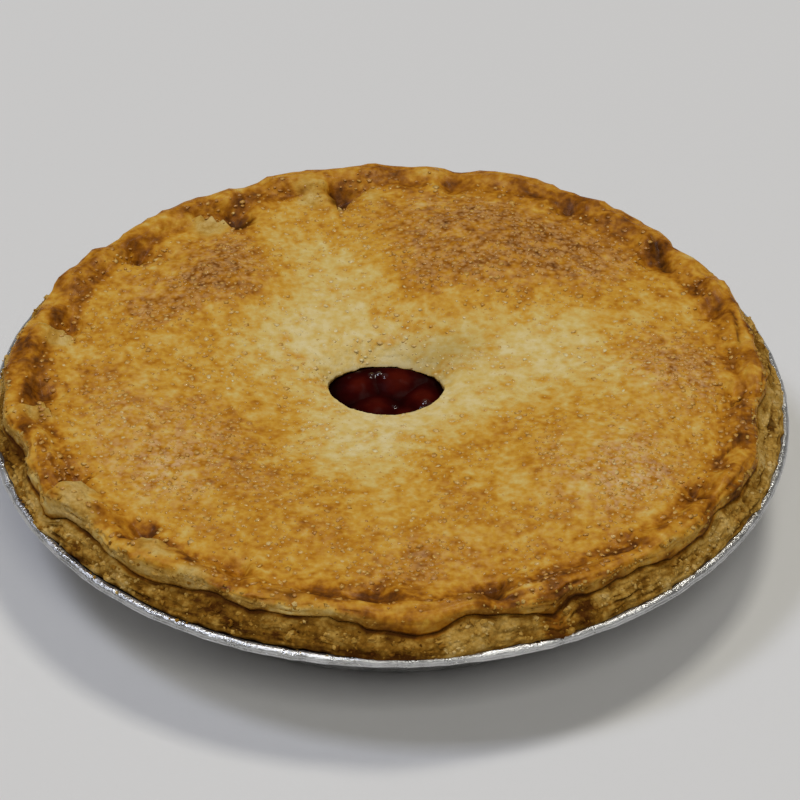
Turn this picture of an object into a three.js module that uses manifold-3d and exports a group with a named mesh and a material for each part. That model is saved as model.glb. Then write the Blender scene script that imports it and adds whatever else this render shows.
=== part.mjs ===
// A cherry pie in its foil pan: a whole pie with a round vent hole in the lid, a rim pinched
// by hand and coarse sugar on top. Lengths are millimetres and +Z is up. The origin is the
// middle of the pan's base, and the pie is seen from the -Y side.

import * as THREE from 'three';
import { mergeVertices } from 'three/addons/utils/BufferGeometryUtils.js';
import Module from 'manifold-3d';

const wasm = await Module();
wasm.setup();

// Clearance kept between pieces that touch
const GAP = 0.3;

// The foil pan: a flat base, a sloping wall, a flange and a rolled bead
const RIM_RADIUS = 115;
const FOIL = 0.5;
const BASE_RADIUS = 85;
const BASE_CORNER = 3.2;
const WALL_TOP_RADIUS = 105.8;
const FLANGE_HEIGHT = 27.9;
const FLANGE_RISE = 0.3;
const BEAD_RADIUS = 1.4;
const BEAD_SIDES = 7;
const BEAD_START = THREE.MathUtils.degToRad(200);
const BEAD_TURN = THREE.MathUtils.degToRad(320);
const PAN_MERIDIANS = 64;

// The bottom crust: how thick it lines the pan, and the thick band that stands on the flange
const DOUGH = 3.6;
const BAND_INNER_RADIUS = 97;
const BAND_SEAT_RADIUS = 102;
const BAND_FOOT_RADIUS = 111.1;
const BAND_FOOT_CLEARANCE = 0.45;
const BAND_BELLY = 0.9;
const BAND_ROUGHNESS = 0.3;
const BAND_SHARES = [0, 0.35, 0.72, 1];
const FLOOR_CORNER = 2;
const FLOOR_CORNER_RADIUS = BASE_RADIUS - DOUGH + 0.5;

// The lid's edge, drawn in at the back left, and the crack between it and the bottom crust
const EDGE_RADIUS = 110.3;
const EDGE_PULL = { angle: 135, depth: 2.0, width: 55 };
const EDGE_ROUND = 1.1;
const EDGE_SHOULDER = 2.6;
const EDGE_ROUGHNESS = 0.2;
const CRACK_HEIGHT = 34.6;
const CRACK_INSET = 0.7;
const CRACK_OPENING = 0.8;

// Height of the lid's top by radius, where nothing lifts or presses it
const LID_TOP = [[14, 36.0], [24, 36.7], [42, 37.5], [60, 38.4], [76, 38.6], [88, 37.9], [94, 37.9],
  [100, 39.0], [104.5, 39.6], [107.5, 39.0]];

// Height of the surface where the lid lies on the filling and on the bottom crust
const PARTING = [[0, 31.7], [24, 32.0], [55, 32.4], [BAND_INNER_RADIUS, 32.2]];

// Swellings and hollows of the lid: x, y, radius and height
const SWELLS = [
  [30, 66, 27, 3.6], [14, 44, 13, 1.2], [-51, 46, 16, 2.2], [84, -4, 16, 1.7],
  [58, -45, 22, 2.1], [-33, -67, 20, 1.5], [-76, -22, 13, 1.2], [9, -38, 12, 0.8],
  [-24, 64, 15, -1.2], [40, 10, 18, -0.9], [13, 23, 9, -1.2], [-30, -20, 20, -0.6],
];

// Crimps: angle in degrees, radius of the pocket and its depth
const CRIMPS = [
  [19.9, 100, 2.6], [37.9, 100, 3.2], [58.5, 100, 2.3], [79.6, 99, 2.0], [99.9, 95, 4.4],
  [120.6, 94, 4.2], [142.9, 96, 3.6], [166, 97, 3.3], [185.9, 98.5, 3.4], [208.6, 98.5, 3.8],
  [227.4, 98, 3.2], [245.1, 96.5, 2.6], [268.5, 97, 1.9], [287.2, 99, 3.0], [310.3, 98.5, 2.1],
  [328.6, 99.5, 2.7], [356.6, 99.5, 2.3],
];
const CRIMP_WIDTH = 4.6;
const CRIMP_FLARE = 0.33;
const CRIMP_REACH = 5.4;
const FOLD_HEIGHT = 1.1;
const FOLD_WIDTH = 2.4;
const FOLD_REACH = 6.5;
const PINCH = 1.5;
const PINCH_WIDTH = 7;

// Places where the lid hangs low over the bottom crust, or juice has run over the bead:
// angle in degrees, drop of the crack, reach over the bead and half width along the rim
const SAGS = [
  [199, 1.8, 0, 7], [211, 3.2, 0, 6], [235, 1.4, 0, 6], [278, 0.6, 1.5, 9], [294.5, 1.6, 2.0, 3.5],
];

// Where the lid's stations lie: shares of its edge from the crack up, radii of its top, and
// distances from the vent's outline
const EDGE_SHARES = [1, 0.55, 0];
const TOP_RADII = [103.5, 99.5, 95.5, 91.5, 86, 78, 68, 56, 43];
const LIP_DISTANCES = [13, 5, 1.6, 0];

// Where the eight meridians of a crimp lie, as shares of the way to the next one
const MERIDIAN_SHARES = [0, 0.09, 0.18, 0.3, 0.47, 0.66, 0.82, 0.92];

// The vent hole: an oval with a crisp lip in front and a soft, sloping one behind
const VENT = { x: -1.3, y: -0.8, halfWidth: 16.8, halfDepth: 13.7 };
const VENT_MEAN_RADIUS = 17;
const VENT_FADE = 24;
const LIP_DROP_BACK = 3.5;
const LIP_DROP_FRONT = 0.5;
const LIP_REACH = 5.5;

// Cherries that bulge in the vent hole: x, y, radius and height
const CHERRIES = [
  [-9, 4, 6.2, 1.7], [2, 6.5, 6.8, 1.9], [9.5, -0.5, 6.0, 1.8], [-4, -4.5, 6.6, 1.5], [4.5, -8, 5.0, 1.3],
];
const JUICE_HEIGHT = 29.9;
const CHERRY_ROUNDING = 0.8;
const OPEN_RADII = [18, 13, 8, 3.5];
const COVERED_RADII = [80, 55, 24];
const FILLING_MERIDIANS = 48;

// The largest grains of the coarse sugar, and the ring of the lid that they lie on
const SUGAR = { count: 96, inner: 22, outer: 106, smallest: 1.2, largest: 1.9 };
const GOLDEN_ANGLE = Math.PI * (3 - Math.sqrt(5));

const radians = THREE.MathUtils.degToRad;
const { lerp, smoothstep } = THREE.MathUtils;

// A number from 0 to 1 that looks random and is the same in every run
function chance(index, stream) {
  const wave = Math.sin(index * 12.9898 + stream * 78.233) * 43758.5453;
  return wave - Math.floor(wave);
}

// A rounded hill of height 1 over a half width
function hill(distance, width) {
  return Math.exp(-((distance / width) ** 2));
}

// Unevenness along the rim, from -1 to 1
function ripple(theta, stream) {
  return 0.45 * Math.sin(5 * theta + stream * 1.7) + 0.35 * Math.sin(11 * theta + stream * 4.1)
    + 0.2 * Math.sin(23 * theta + stream * 2.3);
}

// Crumbly unevenness of a dough face, from -1 to 1
function crumble(theta, height) {
  return 0.6 * Math.sin(47 * theta + height * 1.9) + 0.4 * Math.sin(83 * theta - height * 2.7 + 1);
}

function heightOn(profile, radius) {
  const next = profile.findIndex(([r]) => r >= radius);
  if (next < 0) return profile.at(-1)[1];
  if (next === 0) return profile[0][1];
  const [[r0, z0], [r1, z1]] = [profile[next - 1], profile[next]];
  return lerp(z0, z1, (radius - r0) / (r1 - r0));
}

// Millimetres along the rim from an angle in degrees, positive counterclockwise
function arcFrom(degrees, theta, radius) {
  const turn = theta - radians(degrees);
  return Math.atan2(Math.sin(turn), Math.cos(turn)) * radius;
}

// How much a pinch draws the rim in at an angle, from 0 to 1
function pinch(theta) {
  return Math.max(...CRIMPS.map(([angle]) => hill(arcFrom(angle, theta, EDGE_RADIUS) + 2, PINCH_WIDTH)));
}

function sagDrop(theta) {
  return SAGS.reduce((sum, [angle, drop, , width]) =>
    sum + drop * hill(arcFrom(angle, theta, EDGE_RADIUS), width), 0);
}

function spillReach(theta) {
  return SAGS.reduce((sum, [angle, , reach, width]) =>
    sum + reach * hill(arcFrom(angle, theta, EDGE_RADIUS), width), 0);
}

function edgeRadius(theta) {
  const pull = EDGE_PULL.depth * hill(arcFrom(EDGE_PULL.angle, theta, EDGE_RADIUS), EDGE_PULL.width);
  return EDGE_RADIUS - PINCH * pinch(theta) + 0.5 * ripple(theta, 1) - pull;
}

function crackHeight(theta) {
  return CRACK_HEIGHT + 0.9 * pinch(theta) + 0.5 * ripple(theta, 2) - sagDrop(theta);
}

// Pockets pressed into the rim and the folds that they raise on their counterclockwise side
function crimpRelief(theta, radius) {
  let relief = 0;
  for (const [angle, pocketRadius, depth] of CRIMPS) {
    const along = arcFrom(angle, theta, radius);
    const width = Math.max(2.2, CRIMP_WIDTH + CRIMP_FLARE * (radius - pocketRadius));
    const side = along > 0 ? 0.62 * width : 1.15 * width;
    relief -= depth * hill(along, side) * hill(radius - pocketRadius, CRIMP_REACH);
    relief += FOLD_HEIGHT * hill(along - 1.3 * width, FOLD_WIDTH)
      * hill(radius - pocketRadius - 2, FOLD_REACH);
  }
  return relief;
}

function swellRelief(x, y) {
  return SWELLS.reduce((sum, [cx, cy, width, height]) =>
    sum + height * hill(Math.hypot(x - cx, y - cy), width), 0);
}

// Height of the lid's top at a plan position, before the vent's lip is rounded
function lidTop(x, y) {
  const radius = Math.hypot(x, y);
  return heightOn(LID_TOP, radius) + swellRelief(x, y) + crimpRelief(Math.atan2(y, x), radius);
}

// Height of the surface between the lid and what it lies on
function parting(theta, radius) {
  const edge = edgeRadius(theta) - CRACK_INSET;
  const share = smoothstep(radius, BAND_INNER_RADIUS, edge);
  return lerp(heightOn(PARTING, radius), crackHeight(theta), share);
}

// A point of the vent's outline, moved outwards by a distance that fades into a plain circle
function ventPoint(theta, outward) {
  const oval = 1 / Math.hypot(Math.cos(theta) / VENT.halfWidth, Math.sin(theta) / VENT.halfDepth);
  const fade = 1 - smoothstep(outward, 0, VENT_FADE);
  const radius = lerp(VENT_MEAN_RADIUS, oval, fade) + outward;
  return [VENT.x * fade + radius * Math.cos(theta), VENT.y * fade + radius * Math.sin(theta)];
}

// Closed solid whose section at each meridian is the same ring of stations, each placed by a
// function of the angle. A station on the axis closes the solid there.
function turnedSolid(stations, angles) {
  const outline = stations.map((station, index) => new THREE.Vector2(1 + index, index));
  outline.push(outline[0]);
  const lathe = new THREE.LatheGeometry(outline, angles.length);
  const position = lathe.getAttribute('position');
  for (let vertex = 0; vertex < position.count; vertex += 1) {
    const meridian = Math.floor(vertex / outline.length) % angles.length;
    const station = stations[(vertex % outline.length) % stations.length];
    position.setXYZ(vertex, ...station(angles[meridian]));
  }
  return closedMesh(lathe);
}

// The same geometry with shared corners merged and collapsed triangles dropped
function closedMesh(source) {
  const bare = source.clone();
  bare.deleteAttribute('normal');
  bare.deleteAttribute('uv');
  const merged = mergeVertices(bare, 1e-4);
  const corners = merged.getIndex().array;
  const kept = [];
  for (let face = 0; face < corners.length; face += 3) {
    const [a, b, c] = corners.slice(face, face + 3);
    if (a !== b && b !== c && c !== a) kept.push(a, b, c);
  }
  merged.setIndex(kept);
  return merged;
}

function toManifold(geometry) {
  const mesh = new wasm.Mesh({
    numProp: 3,
    vertProperties: new Float32Array(geometry.getAttribute('position').array),
    triVerts: new Uint32Array(geometry.getIndex().array),
  });
  return new wasm.Manifold(mesh);
}

function fromManifold(solid) {
  const mesh = solid.getMesh();
  const geometry = new THREE.BufferGeometry();
  geometry.setAttribute('position', new THREE.BufferAttribute(new Float32Array(mesh.vertProperties), 3));
  geometry.setIndex([...mesh.triVerts]);
  return geometry;
}

// Station that stays on a circle, and one that stays on the axis
function onCircle(radius, height) {
  return (theta) => [radius * Math.cos(theta), radius * Math.sin(theta), height];
}

function onAxis(height) {
  return () => [0, 0, height];
}

function evenAngles(count) {
  return Array.from({ length: count }, (_, index) => (2 * Math.PI * index) / count);
}

// Angles that are closest where the rim is pinched
function crimpAngles() {
  return CRIMPS.flatMap(([angle], index) => {
    const next = CRIMPS[(index + 1) % CRIMPS.length][0];
    const span = THREE.MathUtils.euclideanModulo(next - angle, 360);
    return MERIDIAN_SHARES.map((share) => radians(angle + share * span));
  });
}

function foilPanGeometry() {
  const bead = Array.from({ length: BEAD_SIDES }, (_, index) => {
    const turn = BEAD_START + (index / (BEAD_SIDES - 1)) * BEAD_TURN;
    const radius = RIM_RADIUS - BEAD_RADIUS + BEAD_RADIUS * Math.cos(turn);
    return onCircle(radius, FLANGE_HEIGHT + FLANGE_RISE + BEAD_RADIUS * Math.sin(turn));
  });
  const stations = [
    onAxis(0),
    onCircle(BASE_RADIUS, 0),
    onCircle(BASE_RADIUS + BASE_CORNER, BASE_CORNER),
    onCircle(WALL_TOP_RADIUS, FLANGE_HEIGHT),
    ...bead,
    onCircle(WALL_TOP_RADIUS - FOIL * 0.8, FLANGE_HEIGHT + FOIL),
    onCircle(BASE_RADIUS + BASE_CORNER - FOIL, BASE_CORNER + FOIL * 0.8),
    onCircle(BASE_RADIUS - FOIL * 0.4, FOIL),
    onAxis(FOIL),
  ];
  return turnedSolid(stations, evenAngles(PAN_MERIDIANS));
}

// Outer face of the bottom crust's band, at a share of the way from its foot up to the crack
function bandFace(share) {
  return (theta) => {
    const foot = BAND_FOOT_RADIUS + 0.35 * ripple(theta, 3);
    const top = edgeRadius(theta) - CRACK_INSET;
    const belly = (BAND_BELLY + spillReach(theta)) * Math.sin(Math.PI * share ** 0.7);
    const rough = share > 0 ? BAND_ROUGHNESS * crumble(theta, share * 6) : 0;
    const radius = lerp(foot, top, share) + belly + rough;
    const low = FLANGE_HEIGHT + FOIL + BAND_FOOT_CLEARANCE;
    const height = lerp(low, crackHeight(theta) - CRACK_OPENING / 2, share);
    return [radius * Math.cos(theta), radius * Math.sin(theta), height];
  };
}

// The bottom crust lines the pan from the axis out to the flange
function bottomCrustGeometry() {
  const under = GAP + FOIL;
  const wallInset = 1.2;
  const seat = (radius) => (theta) =>
    [radius * Math.cos(theta), radius * Math.sin(theta), parting(theta, radius) - GAP / 2];
  const stations = [
    onAxis(under),
    onCircle(BASE_RADIUS - wallInset, under),
    onCircle(BASE_RADIUS + BASE_CORNER - wallInset, BASE_CORNER + under),
    onCircle(WALL_TOP_RADIUS - wallInset, FLANGE_HEIGHT + under),
    ...BAND_SHARES.map(bandFace),
    seat(BAND_SEAT_RADIUS),
    seat(BAND_INNER_RADIUS),
    onCircle(FLOOR_CORNER_RADIUS, under + DOUGH + FLOOR_CORNER),
    onCircle(FLOOR_CORNER_RADIUS - FLOOR_CORNER, under + DOUGH),
    onAxis(under + DOUGH),
  ];
  return turnedSolid(stations, crimpAngles());
}

// Surface of the filling in the vent hole: juice with cherries bulging from it
function fillingTop(x, y) {
  const rises = CHERRIES.map(([cx, cy, width, height]) =>
    height * hill(Math.hypot(x - cx, y - cy), CHERRY_ROUNDING * width));
  return JUICE_HEIGHT + Math.max(...rises);
}

// The filling: bare in the vent hole, and elsewhere flat under the lid
function fillingGeometry() {
  const open = (radius) => (theta) => {
    const [x, y] = [VENT.x + radius * Math.cos(theta), VENT.y + radius * Math.sin(theta)];
    return [x, y, fillingTop(x, y)];
  };
  const covered = (radius) => (theta) =>
    [radius * Math.cos(theta), radius * Math.sin(theta), heightOn(PARTING, radius) - GAP / 2];
  const floor = GAP * 2 + FOIL + DOUGH;
  const clear = GAP + 0.1;
  const stations = [
    onAxis(floor),
    onCircle(FLOOR_CORNER_RADIUS - FLOOR_CORNER - clear, floor),
    onCircle(FLOOR_CORNER_RADIUS - clear, floor + FLOOR_CORNER),
    covered(BAND_INNER_RADIUS - clear),
    ...COVERED_RADII.map(covered),
    ...OPEN_RADII.map(open),
    () => [VENT.x, VENT.y, fillingTop(VENT.x, VENT.y)],
  ];
  return turnedSolid(stations, evenAngles(FILLING_MERIDIANS));
}

// Height of the lid's top near the vent, where its lip rounds down into the hole
function lipHeight(theta, x, y, outward) {
  const back = smoothstep(Math.sin(theta), -0.3, 0.9);
  const drop = lerp(LIP_DROP_FRONT, LIP_DROP_BACK, back);
  const reach = LIP_REACH * lerp(0.35, 1, back);
  return lidTop(x, y) - drop * hill(outward, reach);
}

// The lid without its sugar: underside, edge, top and the vent's lip
function lidGeometry() {
  const lip = (outward) => (theta) => {
    const [x, y] = ventPoint(theta, outward);
    return [x, y, lipHeight(theta, x, y, outward)];
  };
  const lipUnder = (theta) => {
    const [x, y] = ventPoint(theta, 0.3);
    return [x, y, heightOn(PARTING, Math.hypot(x, y)) + GAP / 2];
  };
  const top = (radius) => (theta) => {
    const [x, y] = [radius * Math.cos(theta), radius * Math.sin(theta)];
    return [x, y, lidTop(x, y)];
  };
  const under = (radius) => (theta) =>
    [radius * Math.cos(theta), radius * Math.sin(theta), parting(theta, radius) + GAP / 2];
  // The edge runs from the shoulder of the lid round and down to the crack
  const edge = (share) => (theta) => {
    const crack = crackHeight(theta) + CRACK_OPENING / 2;
    const shoulder = edgeRadius(theta) - EDGE_SHOULDER;
    const high = lidTop(shoulder * Math.cos(theta), shoulder * Math.sin(theta));
    const swell = EDGE_ROUND * Math.sin(Math.PI * share) + EDGE_ROUGHNESS * crumble(theta, share * 5);
    const radius = lerp(shoulder, edgeRadius(theta) - CRACK_INSET, share ** 0.6) + swell;
    return [radius * Math.cos(theta), radius * Math.sin(theta), lerp(high, crack, share ** 1.5)];
  };
  const stations = [
    lipUnder,
    under(55),
    under(BAND_INNER_RADIUS),
    under(BAND_SEAT_RADIUS),
    ...EDGE_SHARES.map(edge),
    ...TOP_RADII.map(top),
    ...LIP_DISTANCES.map(lip),
  ];
  return turnedSolid(stations, crimpAngles());
}

// A grain of sugar: a small block, turned at random and half sunk in the lid
function sugarGrain(index) {
  const ring = (index + chance(index, 1)) / SUGAR.count;
  const radius = Math.sqrt(lerp(SUGAR.inner ** 2, SUGAR.outer ** 2, ring));
  const theta = index * GOLDEN_ANGLE + 0.2 * chance(index, 2);
  const [x, y] = [radius * Math.cos(theta), radius * Math.sin(theta)];
  const side = (stream) => lerp(SUGAR.smallest, SUGAR.largest, chance(index, stream));
  const grain = new THREE.BoxGeometry(side(3), side(4), side(5));
  grain.rotateX(chance(index, 6) * Math.PI);
  grain.rotateY(chance(index, 7) * Math.PI);
  grain.rotateZ(chance(index, 8) * Math.PI);
  grain.translate(x, y, lidTop(x, y) + 0.15);
  return toManifold(closedMesh(grain));
}

function sugaredLidGeometry() {
  const bare = toManifold(lidGeometry());
  const grains = Array.from({ length: SUGAR.count }, (_, index) => sugarGrain(index));
  const whole = grains.reduce((lid, grain) => lid.add(grain), bare);
  const [largest] = whole.decompose().sort((a, b) => b.volume() - a.volume());
  return fromManifold(largest);
}

function foilMaterial() {
  return new THREE.MeshStandardMaterial({ color: 0xb9bbbe, roughness: 0.3, metalness: 1 });
}

function crustMaterial() {
  return new THREE.MeshStandardMaterial({ color: 0xb98a3a, roughness: 0.7, metalness: 0 });
}

function lidMaterial() {
  return new THREE.MeshStandardMaterial({ color: 0xc98f3c, roughness: 0.5, metalness: 0 });
}

function fillingMaterial() {
  return new THREE.MeshStandardMaterial({ color: 0x4a0708, roughness: 0.12, metalness: 0 });
}

function piece(name, geometry, material) {
  geometry.computeVertexNormals();
  const mesh = new THREE.Mesh(geometry, material);
  mesh.name = name;
  return mesh;
}

const pie = new THREE.Group();
pie.add(piece('foil_pan', foilPanGeometry(), foilMaterial()));
pie.add(piece('bottom_crust', bottomCrustGeometry(), crustMaterial()));
pie.add(piece('cherry_filling', fillingGeometry(), fillingMaterial()));
pie.add(piece('top_crust', sugaredLidGeometry(), lidMaterial()));

export default pie;
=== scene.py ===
"""A whole cherry pie in its foil pan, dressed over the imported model.

Lengths are millimetres and +Z is up until a mesh or a light is placed, which is in metres. The
origin is the middle of the pan's base, and the pie is seen from the -Y side.
"""

import logging
import math
from dataclasses import dataclass
from enum import Enum
from typing import Sequence

import bpy
import numpy as np
from mathutils import Matrix, Vector
from mathutils.kdtree import KDTree


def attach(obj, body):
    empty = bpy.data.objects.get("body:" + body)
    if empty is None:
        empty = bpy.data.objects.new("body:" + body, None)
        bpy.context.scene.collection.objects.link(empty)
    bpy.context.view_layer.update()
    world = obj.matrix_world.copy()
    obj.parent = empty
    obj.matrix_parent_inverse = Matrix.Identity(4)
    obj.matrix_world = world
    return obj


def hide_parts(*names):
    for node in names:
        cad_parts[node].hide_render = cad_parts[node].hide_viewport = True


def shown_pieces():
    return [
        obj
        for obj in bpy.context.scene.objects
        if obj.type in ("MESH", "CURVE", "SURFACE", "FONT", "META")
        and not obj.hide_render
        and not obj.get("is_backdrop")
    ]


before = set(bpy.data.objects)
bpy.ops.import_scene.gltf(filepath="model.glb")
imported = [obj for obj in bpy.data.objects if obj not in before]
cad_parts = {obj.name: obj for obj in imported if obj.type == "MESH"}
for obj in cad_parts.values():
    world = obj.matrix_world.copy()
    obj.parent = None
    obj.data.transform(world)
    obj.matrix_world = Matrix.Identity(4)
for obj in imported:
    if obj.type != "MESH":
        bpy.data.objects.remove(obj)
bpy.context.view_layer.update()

Array = np.ndarray
Colour = tuple[float, float, float]
Span = tuple[float, float]
MM = 0.001
BODY = "root"
LOG = logging.getLogger("cherry_pie")


# Small sums that the pie's forms are worked out with


def blend(start: Array, end: Array, share: Array) -> Array:
    """The value at a share of the way from start to end."""
    return start + (end - start) * share


def smoothstep(value: Array, low: float, high: float) -> Array:
    """A share from 0 at low to 1 at high, with a soft start and end."""
    share = np.clip((value - low) / (high - low), 0.0, 1.0)
    return share * share * (3.0 - 2.0 * share)


def hill(distance: Array, width: float) -> Array:
    """A rounded hill of height 1 over a half width."""
    return np.exp(-((distance / width) ** 2))


def chance(index: int, stream: int) -> float:
    """A number from 0 to 1 that looks random and is the same in every run."""
    wave = math.sin(index * 12.9898 + stream * 78.233) * 43758.5453
    return wave - math.floor(wave)


def polar(theta: Array, radius: Array, height: Array) -> Array:
    """Places from an angle, a radius and a height, with x, y and z along the last axis."""
    radius, height, theta = np.broadcast_arrays(radius, height, theta)
    return np.stack([radius * np.cos(theta), radius * np.sin(theta), height], axis=-1)


def level(x: Array, y: Array, height: float = 38.0) -> Array:
    """Places at one height over plan positions, where a pattern reads its grain."""
    return np.stack([x, y, np.full_like(x, height)], axis=-1)


class Grain:
    """Smooth seeded unevenness in space, from about -1 to 1."""

    LATTICE = 48

    def __init__(self, seed: int) -> None:
        """Fills the lattice that the unevenness is read from."""
        draw = np.random.default_rng(seed)
        self.lattice = draw.uniform(-1.0, 1.0, (self.LATTICE,) * 3)

    def at(self, points: Array, size: float) -> Array:
        """Reads the unevenness.

        Args:
            points: places in millimetres, with x, y and z along the last axis.
            size: rough distance between a rise and the next one.

        Returns:
            One number for each place.
        """
        place = points / size + 1000.0
        cell = np.floor(place).astype(np.int64)
        share = place - cell
        sx, sy, sz = np.moveaxis(share * share * (3.0 - 2.0 * share), -1, 0)
        i0, j0, k0 = np.moveaxis(cell % self.LATTICE, -1, 0)
        i1, j1, k1 = np.moveaxis((cell + 1) % self.LATTICE, -1, 0)
        grid = self.lattice
        low = blend(blend(grid[i0, j0, k0], grid[i1, j0, k0], sx),
                    blend(grid[i0, j1, k0], grid[i1, j1, k0], sx), sy)
        high = blend(blend(grid[i0, j0, k1], grid[i1, j0, k1], sx),
                     blend(grid[i0, j1, k1], grid[i1, j1, k1], sx), sy)
        return blend(low, high, sz)

    def cloud(self, points: Array, size: float, layers: int = 3) -> Array:
        """Sums ever finer and weaker layers of unevenness.

        Args:
            points: places in millimetres.
            size: size of the coarsest layer.
            layers: how many layers, each half the size and strength of the one before.

        Returns:
            One number for each place.
        """
        total = np.zeros(points.shape[:-1])
        for layer in range(layers):
            total += self.at(points + 17.3 * layer, size / 2.0**layer) / 2.0**layer
        return total

    def lumps(self, points: Array, size: float) -> Array:
        """Rounded lumps in two sizes, from 0 in the creases between them to about 1."""
        return np.abs(self.at(points, size)) + 0.5 * np.abs(self.at(points + 29.1, size / 2))


GRAIN_LID = Grain(11)
GRAIN_BAKE = Grain(23)
GRAIN_EDGE = Grain(37)
GRAIN_BAND = Grain(41)
GRAIN_FOIL = Grain(53)
GRAIN_FRUIT = Grain(67)


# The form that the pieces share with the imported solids


@dataclass(frozen=True)
class Crimp:
    """One pinch of the rim: its angle in degrees, the radius of its pocket and how deep it is."""

    angle: float
    pocket: float
    depth: float


@dataclass(frozen=True)
class Sag:
    """Where the lid hangs low or juice ran over the bead: angle, drop, reach and half width."""

    angle: float
    drop: float
    reach: float
    width: float


@dataclass(frozen=True)
class Patch:
    """A round area of the pie: its middle, half width and how strongly it acts."""

    x: float
    y: float
    width: float
    strength: float

    def over(self, x: Array, y: Array, spread: float = 1.0) -> Array:
        """How strongly it acts at plan positions, over a share of its own width."""
        return self.strength * hill(np.hypot(x - self.x, y - self.y), self.width * spread)


def marks(kind: type, *rows: tuple[float, ...]) -> tuple:
    """Makes one mark of a kind from each row of its values."""
    return tuple(kind(*row) for row in rows)


CRIMPS = marks(
    Crimp, (19.9, 100, 2.6), (37.9, 100, 3.2), (58.5, 100, 2.3), (79.6, 99, 2), (99.9, 95, 4.4),
    (120.6, 94, 4.2), (142.9, 96, 3.6), (166, 97, 3.3), (185.9, 98.5, 3.4), (208.6, 98.5, 3.8),
    (227.4, 98, 3.2), (245.1, 96.5, 2.6), (268.5, 97, 1.9), (287.2, 99, 3), (310.3, 98.5, 2.1),
    (328.6, 99.5, 2.7), (356.6, 99.5, 2.3),
)
SAGS = marks(
    Sag, (199, 1.8, 0, 7), (211, 3.2, 0, 6), (235, 1.4, 0, 6), (278, 0.6, 1.5, 9), (294.5, 1.6, 2, 3.5),
)
SWELLS = marks(
    Patch, (30, 66, 27, 3.6), (14, 44, 13, 1.2), (-51, 46, 16, 2.2), (84, -4, 16, 1.7),
    (58, -45, 22, 2.1), (-33, -67, 20, 1.5), (-76, -22, 13, 1.2), (9, -38, 12, 0.8), (-24, 64, 15, -1.2),
    (40, 10, 18, -0.9), (13, 23, 9, -1.2), (-30, -20, 20, -0.6),
)
LID_TOP = ((14, 36.0), (24, 36.7), (42, 37.5), (60, 38.4), (76, 38.6), (88, 37.9), (94, 37.9),
           (100, 39.0), (104.5, 39.6), (107.5, 39.0))
PARTING = ((0, 31.7), (24, 32.0), (55, 32.4), (97, 32.2))
# How far the crack wanders in under the lid's edge, by angle
CRACK_WANDER = (
    (0, 1.5), (9, 2.8), (20, 0), (40, 1.2), (75, 0.3), (130, 0.8), (170, 0), (192, -1.6),
    (198, 2.8), (202, 0.9), (206.6, -1.9), (211.6, -1.4), (212.6, 1.2), (219, 4.4), (223, 2),
    (226, -1.9), (228.4, -1.2), (234, 2), (241, 4.2), (250, 3.4), (254, 3.4), (260.7, 5.3),
    (262.4, 4), (267, -0.1), (269.4, -0.8), (277, 1.3), (281.5, 7), (283.7, 3.6), (286.5, 3.3),
    (288.3, 1.1), (293.8, 1.5), (294.3, -0.9), (296.1, 4.4), (305.7, 3.3), (312, 1.5), (319, 0.5),
    (333, 1.1), (340, 0.8), (347.5, 4.4), (352, 4.4), (357.7, 1.6),
)


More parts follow.
